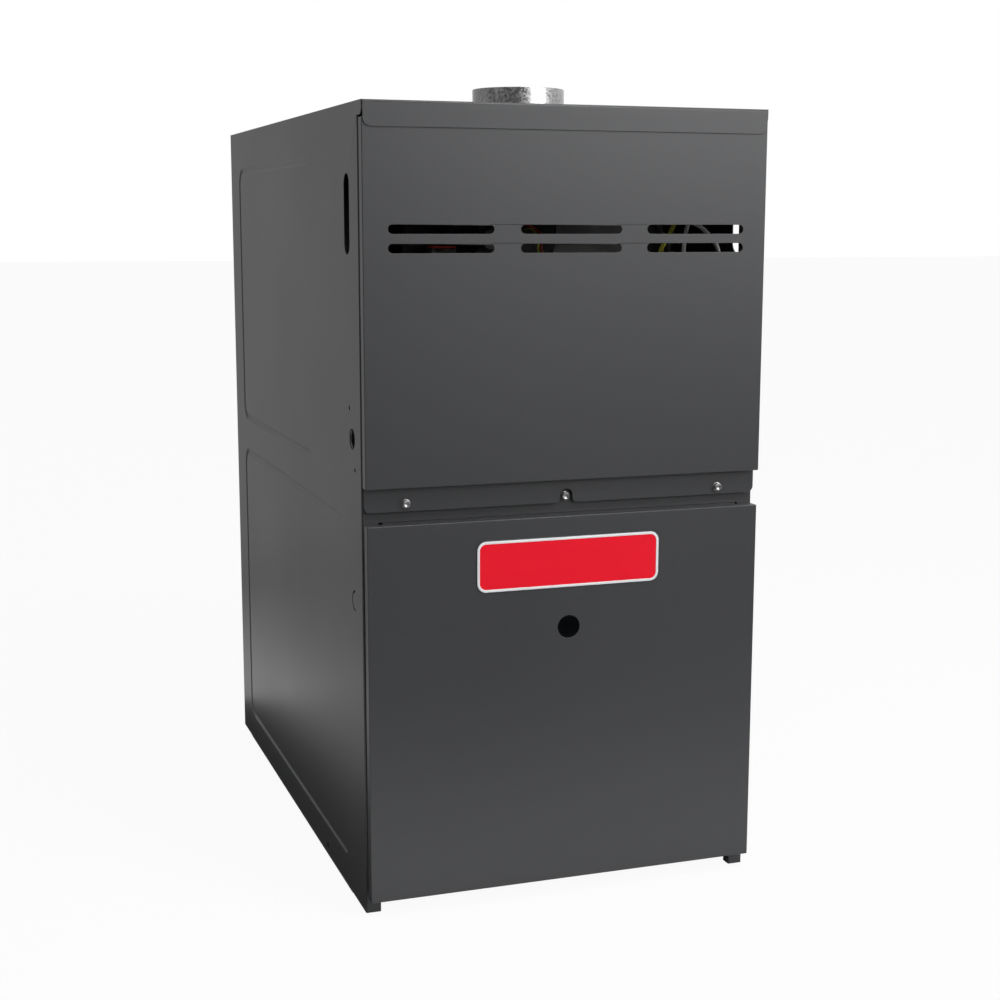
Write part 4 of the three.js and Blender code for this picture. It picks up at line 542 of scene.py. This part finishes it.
def side_panel(side):
    skin = Skin()
    at = lambda y, z, d=0.0: (side * (SIDE_X - d), y, z)
    r = BEND
    outline = [
        (FRONT_Y + r, 2), (FRONT_Y + 61, 2), (FRONT_Y + 62, r), (BACK_Y - 62, r), (BACK_Y - 61, 2),
        (BACK_Y - r, 2), (BACK_Y - r, 845.6), (BACK_Y, 846.4), (BACK_Y, HEIGHT), (DOOR_Y, HEIGHT),
        *arc(DOOR_Y + 6, TAB_BOTTOM + 6, 6, 180, 270, 6), (FRONT_Y, TAB_BOTTOM),
        (FRONT_Y + r, TAB_BOTTOM - 1),
    ]
    knock_out = [
        *arc(KNOCK_OUT_Y, KNOCK_OUT_Z, 11, -100, 100, 20), *arc(KNOCK_OUT_Y, KNOCK_OUT_Z, 8.8, 100, -100, 20),
    ]
    holes = [
        obround(*GAS_ENTRY),
        disc(CONDUIT_Y, CONDUIT_Z, CONDUIT_BORE),
        disc(CONDUIT_Y + 10, CONDUIT_Z + 31.5, 2.5, 20),
        disc(CONDUIT_Y - 10, CONDUIT_Z - 31.5, 2.5, 20),
        knock_out,
        round_rect(DATUM_HOLE_Y - 3, DATUM_HOLE_Y + 3, DATUM_HOLE_Z - 3, DATUM_HOLE_Z + 3, 0.4, 2),
    ]
    skin.fill([outline, *holes, *(bead_loop(*b, BEAD_PROFILE[0][0]) for b in BEADS)], at)
    for b in BEADS:
        rows = [[at(y, z, depth) for y, z in bead_loop(*b, half)] for half, depth in BEAD_PROFILE]
        skin.strip(rows, closed=True)
        half, depth = BEAD_PROFILE[-1]
        skin.fill([bead_loop(*b, half)], lambda y, z, d=depth: at(y, z, d))
    first = [(depth, FRONT_Y + inset) for inset, depth in bend(r)]
    second = [(16.5 - inset, FRONT_Y + depth) for inset, depth in bend(r)]
    for path, flat in ((first, False), ([first[-1], second[0]], True), (second, False),
                       ([second[-1], (16.5, FRONT_Y + 13)], True)):
        skin.strip([[at(y, z, d) for z in (2, TAB_BOTTOM - 1)] for d, y in path], flat=flat)
    path = [(depth, BACK_Y - inset) for inset, depth in bend(r)]
    for path, flat in ((path, False), ([path[-1], (16.5, BACK_Y)], True)):
        skin.strip([[at(y, z, d) for z in (2, 845.6)] for d, y in path], flat=flat)
    path = [(depth, inset) for inset, depth in bend(r)]
    for path, flat in ((path, False), ([path[-1], (20, 0)], True)):
        skin.strip([[at(y, z, d) for y in (FRONT_Y + 62, BACK_Y - 62)] for d, z in path], flat=flat)
    name = "left_side_panel" if side < 0 else "right_side_panel"
    made = sheet(skin, (side, 0, 0))
    for vertex in made.vertices:
        vertex.co.x = max(-SIDE_X * MM, min(SIDE_X * MM, vertex.co.x))
    piece("v_" + name, made, "cabinet", PAINT, name)


side_panel(-1)
side_panel(1)

SUPPLY = (-203.25, 203.25, VESTIBULE_Y + 15, BACK_Y - 19)


def top_panel():
    skin = Skin()
    r = 2.4
    x0, x1, y0, y1 = SUPPLY
    top = lambda x, y, drop=0.0: (x, y, HEIGHT - drop)
    rim = lambda e: round_rect(x0 - e, x1 + e, y0 - e, y1 + e, 2.5 + e, 5)
    outline = [(-FIT_X, LIP_Y + r), (FIT_X, LIP_Y + r), (FIT_X, BACK_Y), (-FIT_X, BACK_Y)]
    skin.fill([outline, disc(0, VENT_Y, VENT_R + 1.5, 72), rim(BEND)], top)
    rows = [[top(x, y, drop) for x, y in rim(inset)] for inset, drop in bend(BEND)]
    skin.strip(rows, closed=True)
    skin.strip([rows[-1], [top(x, y, 13) for x, y in rim(0)]], closed=True, flat=True)
    skin.strip([[(x, LIP_Y + inset, HEIGHT - drop) for x in (-FIT_X, FIT_X)] for inset, drop in bend(r)])
    lip = [
        *arc(8 - FIT_X, LIP_BOTTOM + 8, 8, 180, 270, 8), *arc(FIT_X - 8, LIP_BOTTOM + 8, 8, 270, 360, 8),
        (FIT_X, HEIGHT - r), (-FIT_X, HEIGHT - r),
    ]
    skin.fill([lip], lambda x, z: (x, LIP_Y, z))
    piece("v_top_panel", sheet(skin, (0, 0, 1)), "cabinet", PAINT, "top_panel")


top_panel()

for name in ("back_panel", "door_rail"):
    dressed(name, PAINT)
for name in ("blower_deck", "base_frame"):
    dressed(name, GALVANISED)
# Vestibule panel in the darkened steel: partly heat tint, partly painted shade of the dark compartment
dressed("vestibule_panel", STAIN_AND_SHADE)


# ---------------------------------------------------------------- doors
def pan(skin, half, z0, z1, holes, depth=11.6, radius=0.9, corner=1.2):
    """A pressed pan: a face with its holes, rounded into a return on all four sides."""
    ring = lambda e: round_rect(e - half, half - e, z0 + e, z1 - e, max(corner - e, 0.6), 5)
    profile = bend(radius)
    skin.fill([ring(profile[0][0]), *holes], lambda x, z: (x, DOOR_Y, z))
    rows = [[(x, DOOR_Y + d, z) for x, z in ring(e)] for e, d in profile]
    skin.strip(rows, closed=True)
    skin.strip([rows[-1], [(x, DOOR_Y + depth, z) for x, z in ring(0)]], closed=True, flat=True)


def upper_door():
    face = Skin()
    slot = lambda x, z: obround(x, z, LOUVRE_LENGTH, LOUVRE_HEIGHT)
    louvres = [slot(LOUVRE_PITCH * i, z) for i in (-1, 0, 1) for z in LOUVRE_ZS]
    pan(face, UPPER_HALF, UPPER_BOTTOM, UPPER_TOP, louvres)
    skirt = Skin()
    mouth, c = 12.6, SKIRT_CORNER
    outline = [
        *arc(c - SKIRT_HALF, SKIRT_BOTTOM + c, c, 180, 270, 8),
        (-mouth, SKIRT_BOTTOM),
        *arc(-mouth, SKIRT_BOTTOM + 5.4, 5.4, 270, 360, 8)[1:],
        *arc(0, SKIRT_BOTTOM + 15.2 - 7.2, 7.2, 180, 0, 20),
        *arc(mouth, SKIRT_BOTTOM + 5.4, 5.4, 180, 270, 8),
        *arc(SKIRT_HALF - c, SKIRT_BOTTOM + c, c, 270, 360, 8),
        (SKIRT_HALF, UPPER_BOTTOM + 0.3), (-SKIRT_HALF, UPPER_BOTTOM + 0.3),
    ]
    holes = [disc(x, DOOR_SCREW_Z, 2.7, 24) for x in (SCREW_XS[0], SCREW_XS[2])]
    skirt.fill([outline, *holes], lambda x, z: (x, SKIRT_Y, z))
    meshes = [sheet(face, (0, -1, 0)), sheet(skirt, (0, -1, 0))]
    piece("v_upper_door", meshes, "upper_door", PAINT, "upper_door")


def lower_door():
    face = Skin()
    pan(face, LOWER_HALF, LOWER_BOTTOM, LOWER_TOP, [disc(0, SIGHT_Z, SIGHT_BORE, 56)])
    tab = Skin()
    fold = [(-353.2, 0.0), (-352.3, 0.06), (-351.9, 0.2), (-351.0, 0.9), (-350.6, 1.08), (-350.0, TAB_RISE)]
    rows = [[(x, y, LOWER_TOP + rise) for x in (-TAB_HALF, TAB_HALF)] for y, rise in fold]
    tab.strip(rows)
    flat = [rows[-1], [(x, -341.0, LOWER_TOP + TAB_RISE) for x in (-TAB_HALF, TAB_HALF)],
            [(x, -338.3, LOWER_TOP + TAB_RISE) for x in (3 - TAB_HALF, TAB_HALF - 3)]]
    tab.strip(flat, flat=True)
    meshes = [sheet(face, (0, -1, 0)), sheet(tab, (0, 0, 1))]
    piece("v_lower_door", meshes, "lower_door", PAINT, "lower_door")


upper_door()
lower_door()


def sight_glass():
    skin = Skin()
    profile = [
        (0, DOOR_Y + 0.75), (8.5, DOOR_Y + 0.72), (10.6, DOOR_Y + 0.5), (11.5, DOOR_Y + 0.3),
        (12.1, DOOR_Y + 0.5), (12.2, DOOR_Y + 1.3), (16.1, DOOR_Y + 1.3), (16.2, DOOR_Y + 3.4),
        (0, DOOR_Y + 3.4),
    ]
    turned(skin, "y", (0, 0, SIGHT_Z), profile, 64)
    # The lens is near black: painted shade of the compartment behind the sight hole
    piece("v_sight_glass", skin.mesh(), "lower_door", SHADED_LENS, "sight_glass", bevel=0)


def name_plate():
    """A bare plate: a raised bright rim round a flat red field."""
    skin = Skin()
    x, z, front = PLATE_WIDTH / 2, PLATE_HEIGHT / 2, DOOR_Y - 1.2
    ring = lambda e, y: [
        (u, y, v)
        for u, v in round_rect(e - x, x - e, PLATE_Z - z + e, PLATE_Z + z - e, PLATE_CORNER - e, 10)
    ]
    edge = [ring(0, DOOR_Y), ring(0, front + 0.9), ring(0.1, front + 0.72), ring(1.1, front + 0.66)]
    rim = [edge[-1], ring(1.2, front + 0.25), ring(1.5, front), ring(3.5, front), ring(3.8, front + 0.12),
           ring(3.95, front + 0.4)]
    skin.strip(edge, closed=True, part=2)
    skin.strip(rim, closed=True, part=1)
    skin.strip([rim[-1], ring(4.1, front + 0.4), ring(4.5, front + 0.34)], closed=True, part=0)
    skin.face(ring(4.5, front + 0.34), 0)
    skin.face(ring(0, DOOR_Y), 2)
    finishes = [PLATE_RED, RIM, BLACK_PLASTIC]
    piece("v_name_plate", skin.mesh(), "lower_door", finishes, "name_plate", bevel=0)


def screw(name, body, x, y, z, turn):
    """Hexagon washer-head screw: chamfered head with a shallow dish, coned washer, threaded shank."""
    skin = Skin()
    head = SCREW_HEAD
    corners = []
    for i in range(6):
        for k in (0.06, 0.94):
            a, b = (math.radians(60 * (i + j) + turn) for j in (0, 1))
            r = SCREW_FLATS / 2 / math.cos(math.pi / 6)
            corners.append((r * (math.cos(a) * (1 - k) + math.cos(b) * k),
                            r * (math.sin(a) * (1 - k) + math.sin(b) * k)))
    ring = lambda k, d: [(x + u * k, y - d, z + v * k) for u, v in corners]
    rows = [ring(1.0, 0.8), ring(1.0, head - 0.9), ring(0.965, head - 0.45), ring(0.86, head - 0.05),
            ring(0.8, head), ring(0.62, head), ring(0.5, head - 0.5), ring(0.02, head - 0.6)]
    skin.strip(rows, closed=True)
    skin.face(rows[-1])
    skin.face(rows[0])
    profile = [(0, 0), (4.9, 0), (5.0, -0.12), (4.95, -0.42), (4.6, -0.62), (3.6, -0.9), (0, -0.9)]
    turned(skin, "y", (x, y, z), profile, 40)
    thread = []
    for i in range(23):
        w = 0.02 + SCREW_SHANK * i / 22
        taper = 1.0 if i < 18 else 1.0 - 0.14 * (i - 18)
        thread.append(((2.35 if i % 2 else 1.85) * taper, w))
    turned(skin, "y", (x, y, z), [(0, 0.02), *thread, (0, SCREW_SHANK + 0.02)], 20)
    piece("v_" + name, skin.mesh(), body, ZINC, name, bevel=0)


sight_glass()
name_plate()
screw("door_screw_left", "upper_door", SCREW_XS[0], SKIRT_Y, DOOR_SCREW_Z, 12)
screw("rail_screw", "cabinet", SCREW_XS[1], RAIL_Y, RAIL_SCREW_Z, 0)
screw("door_screw_right", "upper_door", SCREW_XS[2], SKIRT_Y, DOOR_SCREW_Z, 40)


# ---------------------------------------------------------------- vent and flue side
def vent_collar():
    skin = Skin()
    outer, inner, foot = VENT_R, VENT_R - 0.8, VENT_PLATE_Z
    profile = [
        (outer, foot + 1.2), (outer, VENT_RIM - 0.45), (outer - 0.12, VENT_RIM - 0.12),
        (outer - 0.4, VENT_RIM), (inner + 0.12, VENT_RIM - 0.12), (inner, VENT_RIM - 0.45),
        (inner, foot), (outer, foot), (outer, foot + 1.2),
    ]
    turned(skin, "z", (0, VENT_Y, 0), profile, 96)
    plate = Skin()
    half = 53.0
    outline = round_rect(-half, half, VENT_Y - half, VENT_Y + half, 3)
    plate.fill([outline, disc(0, VENT_Y, inner, 72)], lambda x, y: (x, y, foot + 1.2))
    meshes = [skin.mesh(), sheet(plate, (0, 0, 1), 1.2)]
    piece("v_vent_collar", meshes, "cabinet", VENT_METAL, "vent_collar", bevel=0.15)


vent_collar()
# Collector box and saddle in the darkened steel: partly heat tint, partly painted shade of the dark
# compartment
for name in ("collector_box", "tube_saddle"):
    dressed(name, STAIN_AND_SHADE)
for name in ("inducer_housing", "inducer_motor", "transformer"):
    dressed(name, BLACK_PAINT, bevel=0.5)
dressed("inducer_wheel", GALVANISED)
dressed("inducer_cooling_fan", BLACK_PLASTIC)


# ---------------------------------------------------------------- heat exchanger
def exchanger_tube(index, x):
    """Four passes and three round bends; the first pass is the widest."""
    skin = Skin()
    half, steps = PASS_RISE / 2, 14
    path, radii = [(x, VESTIBULE_Y - 1.6, BURNER_Z)], [FIRST_PASS]

    def around(y, z, sign, r0, r1):
        for i in range(steps + 1):
            a = math.pi * i / steps
            path.append((x, y + sign * half * math.sin(a), z + half * (1 - math.cos(a))))
            radii.append(r0 + (r1 - r0) * i / steps)

    around(REAR_BEND_Y, BURNER_Z, 1, FIRST_PASS, LAST_PASS)
    around(FRONT_BEND_Y, BURNER_Z + PASS_RISE, -1, LAST_PASS, LAST_PASS)
    around(REAR_BEND_Y, BURNER_Z + 2 * PASS_RISE, 1, LAST_PASS, LAST_PASS)
    path.append((x, VESTIBULE_Y - 1.6, INDUCER_Z))
    radii.append(LAST_PASS)
    swept(skin, path, radii, 32, 1.2)
    name = f"exchanger_tube_{index + 1}"
    piece("v_" + name, skin.mesh(), "cabinet", ALUMINISED, name, bevel=0)


def burner(index, x):
    """Pressed burner: bell mouth, throat, mixing tube and a retention head with its crimped vanes."""
    skin = Skin()
    outside = [(17, 0), (16.2, 1.5), (13.2, 7), (10.6, 13), (9.5, 18), (9.5, 25), (10.6, 33), (12.8, 42),
               (14, 50), (14, 101), (14.6, 103.5), (18.2, 107), (19, 109), (19, 120)]
    inside = [(r - 1.2, w) for r, w in reversed(outside)]
    turned(skin, "y", (x, BURNER_FRONT_Y, BURNER_Z), [*outside, *inside, outside[0]], 40)
    vanes = Skin()
    for k in range(8):
        a = math.pi * k / 4
        u, v = math.cos(a), math.sin(a)
        for s in (-0.6, 0.6):
            at = lambda r, y: (x + u * r - v * s, BURNER_FRONT_Y + y, BURNER_Z + v * r + u * s)
            vanes.face([at(7, 111), at(17.6, 109), at(17.6, 119), at(7, 119)])
    hub = [(6.4, 110), (7.2, 110), (7.2, 119.4), (6.4, 119.4), (6.4, 110)]
    turned(vanes, "y", (x, BURNER_FRONT_Y, BURNER_Z), hub, 24)
    meshes = [skin.mesh(), vanes.mesh()]
    name = f"burner_{index + 1}"
    piece("v_" + name, meshes, "cabinet", ALUMINISED, name, bevel=0)


for i, tube_x in enumerate(TUBE_XS):
    exchanger_tube(i, tube_x)
    burner(i, tube_x)


def insulation():
    """Foil-faced blanket along the two sides and the back, held by washered pins."""
    skin = Skin()
    x, y0, y1, t = 218.95, -141.9, 363.6, 12.0
    z0, z1 = 455.6, 834.4
    path = []
    for k in range(33):
        path.append((-x, y0 + (y1 - y0) * k / 32, 1, 0))
    for k in range(1, 28):
        path.append((-x + 2 * x * k / 28, y1, 0, -1))
    for k in range(33):
        path.append((x, y1 - (y1 - y0) * k / 32, -1, 0))
    corner = {32: (1, -1), 60: (-1, -1)}
    rise = [z0 + (z1 - z0) * j / 26 for j in range(27)]
    outer, inner = [], []
    for k, (u, v, du, dv) in enumerate(path):
        du, dv = corner.get(k, (du, dv))
        outer.append([(u, v, z) for z in rise])
        row = []
        for j, z in enumerate(rise):
            wide, fine = (noise.noise((u * k, v * k, z * k)) for k in (0.02, 0.07))
            deep = t - 1.2 + (wide * 1.3 + fine * 0.5) - (1.5 if j in (0, 26) else 0)
            row.append((u + du * deep, v + dv * deep, z))
        inner.append(row)
    skin.strip(outer)
    skin.strip(inner)
    skin.strip([[p[0] for p in outer], [p[0] for p in inner]])
    skin.strip([[p[-1] for p in outer], [p[-1] for p in inner]])
    skin.strip([outer[0], inner[0]])
    skin.strip([outer[-1], inner[-1]])
    made = evaluated(skin.mesh(), ("SUBSURF", {"levels": 1, "render_levels": 1}))
    piece("v_insulation_blanket", made, "cabinet", FOIL, "insulation_blanket", bevel=0)
    pins = Skin()
    for z in (520, 645, 770):
        for y in (-80, 60, 200, 320):
            for s in (-1, 1):
                base = s * (218.95 - 12.4)
                pin = [(0, 0.6), (14, 0.5), (15, -0.1), (14, -0.5), (3, -0.9), (1.4, -1.8), (0, -2)]
                turned(pins, "x", (0, y, z), [(r, base + s * w) for r, w in pin], 28)
    piece("v_blanket_pins", pins.mesh(), "cabinet", ZINC, bevel=0)


insulation()
dressed("burner_rack", GALVANISED)
dressed("gas_manifold", BLACK_PAINT)
dressed("gas_valve", CAST, bevel=1.0)
dressed("gas_inlet_plug", RED_PLASTIC)
dressed("gas_valve_knob", BLACK_PLASTIC)
dressed("hot_surface_igniter", CERAMIC)
dressed("flame_sensor", CERAMIC)
for side in ("left", "right"):
    dressed(f"rollout_switch_{side}", BLACK_PLASTIC)
    dressed(f"rollout_reset_{side}", RED_PLASTIC)
dressed("limit_switch", BLACK_PLASTIC)
dressed("pressure_switch", BLACK_PLASTIC)
dressed("pressure_hose", HOSE, bevel=0, angle=60)


def wiring():
    """Single wires from the board up through the deck, out to the pieces that they feed."""
    skin = Skin()
    trunk = [(134.3, -310, 384), (138.3, -314, 404), (151.3, -298.2, 436.3), (155.3, -294.2, 454.3),
             (155.3, -294.2, 495), (157.3, -294.2, 560), (160.3, -297.2, 612)]
    thin, forked = 1.15, 640  # a wire's radius in the bundle, and the height where the bundle ends
    limit = [(130, -289, 634), (66, -236, 639), (10, -183, 634.3), (6, -171, 630.3)]
    valve = [(140, -304, 650), (104, -308, 651), (20, -308, 654), (-74, -306, 646.3), (-102, -302, 643)]
    motor = [(128, -302, 640), (40, -304, 658), (2, -296, 682)]
    earth = [(140, -302, 668), (127, -302, 694), (133.6, -302, 711), (143, -302, 728), (152, -290, 746),
             (166, -236, 764)]
    runs = [
        (0, 1.25, earth + [(172, -172, 762), (172, -144.2, 760)]),
        (0, 1.25, [(x + 2.9, y - 1, z + 1.2) for x, y, z in earth] + [(178, -172, 757), (178, -144.2, 752)]),
        (1, 2.5, [(160, -299, 660), (159, -296, 700), (166, -292, 729), (175.2, -290, 728), (190, -290, 718),
                  (205, -288, 698), (209, -262, 676), (204, -215, 655), (200, -184, 648)]),
        (0, thin, motor + [(-9, -290, 698), (-9, -290, 711), (-14, -282, 722), (-29, -268, 720)]),
        (2, thin, [(x + 1, y + 3, z + 2) for x, y, z in motor]
         + [(-4, -286, 700), (-4.5, -288, 713), (-8, -284, 721), (-20, -276, 727), (-34, -262, 725)]),
        (2, thin, limit + [(3, -160, 628.3)]),
        (3, thin, [(x + 3, y + 1, z + 2) for x, y, z in limit] + [(9, -160, 628.3)]),
        (0, thin, valve + [(-108, -298, 634)]),
        (4, thin, [(x, y + 3, z - 2.2) for x, y, z in valve] + [(-105, -294, 634)]),
    ]
    for k, (part, radius, ends) in enumerate(runs):
        a = math.pi * 2 * k / 8
        u, v = (3.0 * math.cos(a), 3.0 * math.sin(a)) if k < 8 else (0, 0)
        path = smooth_path([*[(x + u, y + v, z) for x, y, z in trunk], *ends], 6)
        thick = [min(radius, thin) if p[2] < forked else radius for p in path]
        swept(skin, path, thick, 10, part=part)
    for z in (408, 520, 590):
        i = min(range(len(trunk)), key=lambda j: abs(trunk[j][2] - z))
        x, y = trunk[i][0], trunk[i][1]
        tie = [(4.1, z - 2), (4.9, z - 2), (4.9, z + 2), (4.1, z + 2), (4.1, z - 2)]
        turned(skin, "z", (x, y, 0), tie, 24, 5)
    block(skin, -129, -104, -297.5, -276, 680, 702.6, 6)
    block(skin, -129.4, -104, -297.9, -276, 702.6, 704.8, 2)
    earth_screw = [(0, -2.4), (3, -2.2), (4.2, -0.4), (0, -0.4)]
    for x, z in ((172, 760), (178, 752)):
        turned(skin, "y", (x, VESTIBULE_Y, z), earth_screw, 20, 6)
    finishes = [WIRE, WIRE_WHITE, WIRE_RED, WIRE_BLUE, HOSE, BLACK_PLASTIC, ZINC]
    piece("v_wiring_harness", skin.mesh(), "cabinet", finishes, "wiring_harness", bevel=0)


wiring()
for name in ("junction_box", "junction_box_cover", "control_panel", "blower_housing", "blower_wheel"):
    dressed(name, GALVANISED)
dressed("control_board", BOARD)
dressed("blower_shaft", ZINC)
dressed("motor_mount", ZINC)
dressed("blower_motor", BLACK_PAINT)
dressed("run_capacitor", CAST)
dressed("door_switch", BLACK_PLASTIC)
dressed("door_switch_plunger", RED_PLASTIC)


# ---------------------------------------------------------------- floor, light and camera
def floor():
    mesh = bpy.data.meshes.new("floor")
    mesh.from_pydata([(-30, -30, 0), (30, -30, 0), (30, 30, 0), (-30, 30, 0)], [], [(0, 1, 2, 3)])
    obj = bpy.data.objects.new("floor", mesh)
    bpy.context.scene.collection.objects.link(obj)
    f = Finish("floor", (0.82, 0.82, 0.82), 0.9, specular=0.1)
    f.tint(f.noise(2.0), 0.99, 1.01)
    path = f.node("ShaderNodeLightPath").outputs["Is Camera Ray"]
    share = f.node("ShaderNodeMath", {0: path, 1: 0.94}, operation="MULTIPLY").outputs[0]
    white = f.node("ShaderNodeEmission", {"Color": (1, 1, 1, 1), "Strength": 1.0}).outputs[0]
    mix = f.node("ShaderNodeMixShader", {0: share, 1: f.shader.outputs[0], 2: white}).outputs[0]
    f.tree.links.new(mix, f.tree.nodes["Material Output"].inputs["Surface"])
    mesh.materials.append(f.material)
    obj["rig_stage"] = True


def world():
    made = bpy.data.worlds.new("studio")
    bpy.context.scene.world = made
    made.use_nodes = True
    tree = made.node_tree
    tree.nodes.clear()
    path = tree.nodes.new("ShaderNodeLightPath")
    seen = tree.nodes.new("ShaderNodeMath")
    seen.operation = "MAXIMUM"
    tree.links.new(path.outputs["Is Camera Ray"], seen.inputs[0])
    tree.links.new(path.outputs["Is Glossy Ray"], seen.inputs[1])
    more = tree.nodes.new("ShaderNodeMath")
    more.operation = "MAXIMUM"
    tree.links.new(seen.outputs[0], more.inputs[0])
    tree.links.new(path.outputs["Is Transmission Ray"], more.inputs[1])
    light, white = tree.nodes.new("ShaderNodeBackground"), tree.nodes.new("ShaderNodeBackground")
    light.inputs["Color"].default_value = (0.32, 0.325, 0.335, 1)
    white.inputs["Color"].default_value = (1, 1, 1, 1)
    mix, out = tree.nodes.new("ShaderNodeMixShader"), tree.nodes.new("ShaderNodeOutputWorld")
    tree.links.new(more.outputs[0], mix.inputs[0])
    tree.links.new(light.outputs[0], mix.inputs[1])
    tree.links.new(white.outputs[0], mix.inputs[2])
    tree.links.new(mix.outputs[0], out.inputs["Surface"])


def glossy_only(name, shape, tone):
    """A glowing stage object that only glossy rays see: a painted reflection."""
    skin = Skin()
    shape(skin)
    obj = bpy.data.objects.new(name, skin.mesh())
    bpy.context.scene.collection.objects.link(obj)
    f = Finish(name, (0.0, 0.0, 0.0), 1.0, specular=0.0)
    grey = f.ramp(f.noise(0.3), [(0.3, (tone * 0.97,) * 3), (0.7, (tone * 1.03,) * 3)])
    glow = f.node("ShaderNodeEmission", {"Color": grey, "Strength": 1.0}).outputs[0]
    f.tree.links.new(glow, f.tree.nodes["Material Output"].inputs["Surface"])
    obj.data.materials.append(f.material)
    obj.visible_camera = obj.visible_diffuse = obj.visible_shadow = obj.visible_transmission = False
    obj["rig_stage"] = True


def backdrop(name, line, height, tone):
    """A glowing grey wall that is seen in reflections alone: a painted reflection of a studio wall."""
    rows = [[(x / MM, y / MM, z / MM) for x, y in line] for z in (0.0, height)]
    glossy_only(name, lambda skin: skin.strip(rows, flat=True), tone)


def card(name, outline, tone, z=1.0):
    """A glowing card flat on the floor that is seen in reflections alone: a painted reflection of lit or
    shaded floor, by its tone.
    """
    glossy_only(name, lambda skin: skin.face([(x / MM, y / MM, z) for x, y in outline]), tone)


def lamp(name, at, aim, size, power):
    light = bpy.data.lights.new(name, "AREA")
    light.shape, light.size, light.size_y, light.energy = "RECTANGLE", size[0], size[1], power
    obj = bpy.data.objects.new(name, light)
    bpy.context.scene.collection.objects.link(obj)
    obj.location = at
    obj.rotation_euler = (Vector(aim) - Vector(at)).to_track_quat("-Z", "Y").to_euler()
    obj.visible_camera = False
    return obj


def camera():
    yaw, pitch, roll = (math.radians(a) for a in (19.013, 9.531, 0.093))
    ahead = Vector((math.sin(yaw) * math.cos(pitch), math.cos(yaw) * math.cos(pitch), -math.sin(pitch)))
    right = ahead.cross(Vector((0, 0, 1))).normalized()
    up = right.cross(ahead)
    right, up = right * math.cos(roll) + up * math.sin(roll), up * math.cos(roll) - right * math.sin(roll)
    data = bpy.data.cameras.new("camera")
    data.lens, data.sensor_width, data.sensor_fit = 59.45, 36.0, "HORIZONTAL"
    data.clip_start, data.clip_end = 0.05, 100.0
    obj = bpy.data.objects.new("camera", data)
    bpy.context.scene.collection.objects.link(obj)
    turn = Matrix((right, up, -ahead)).transposed().to_4x4()
    obj.matrix_world = Matrix.Translation((-0.63055, -1.96824, 0.72890)) @ turn
    bpy.context.scene.camera = obj


floor()
world()
lamp("key", (1.75, -2.8, 1.75), (0.0, -0.35, 0.75), (2.3, 1.4), 56)
lamp("top", (0.3, -1.35, 2.35), (0.0, -0.35, 0.85), (1.1, 0.8), 22)
# Painted reflections: grey walls and floor cards that glow for glossy rays only, darker or brighter than the
# white surround
backdrop("backdrop_left", [(-9.0, 2.2), (-0.25, 1.6)], 5.0, 0.50)
backdrop("backdrop_front", [(-9.0, 2.2), (-9.0, -3.2), (-1.2, -5.0), (0.9, -5.0)], 5.0, 0.16)
# Floor cards: dark far in front, bright close in front of the doors, grey to the left; each paints the
# floor's reflection as shade or light
card("card_front", [(-1.6, -0.85), (5.0, -0.85), (5.0, -4.6), (-1.6, -4.6)], 0.01)
card("card_low", [(-0.6, -0.40), (1.2, -0.40), (1.4, -0.78), (-0.6, -0.78)], 1.0)
card("card_left", [(-1.6, -0.4), (-0.24, -0.4), (-0.24, 1.65), (-1.6, 1.65)], 0.36)
# Bright strip beside the left side: painted reflection of a lit floor band in the side panel
card("painted_highlight_strip", [(-0.46, -0.4), (-0.385, 0.2), (-0.335, 0.42), (-0.245, 0.5), (-0.245, 1.2), (-0.34, 1.2),
                    (-0.39, 0.72), (-0.44, 0.55), (-0.56, -0.4)], 1.0, 2.0)
# Dark strip along the left foot: painted shadow, the floor's contact shadow as seen in the side panel's lower
# part
card("painted_shadow_strip", [(-0.46, -0.42), (-0.385, 0.2), (-0.335, 0.42), (-0.245, 0.5), (-0.223, 0.5),
                   (-0.223, -0.42)], 0.06, 2.0)
camera()
bpy.context.scene.view_settings.view_transform = "Standard"

seen_box = [list(corner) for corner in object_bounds()]
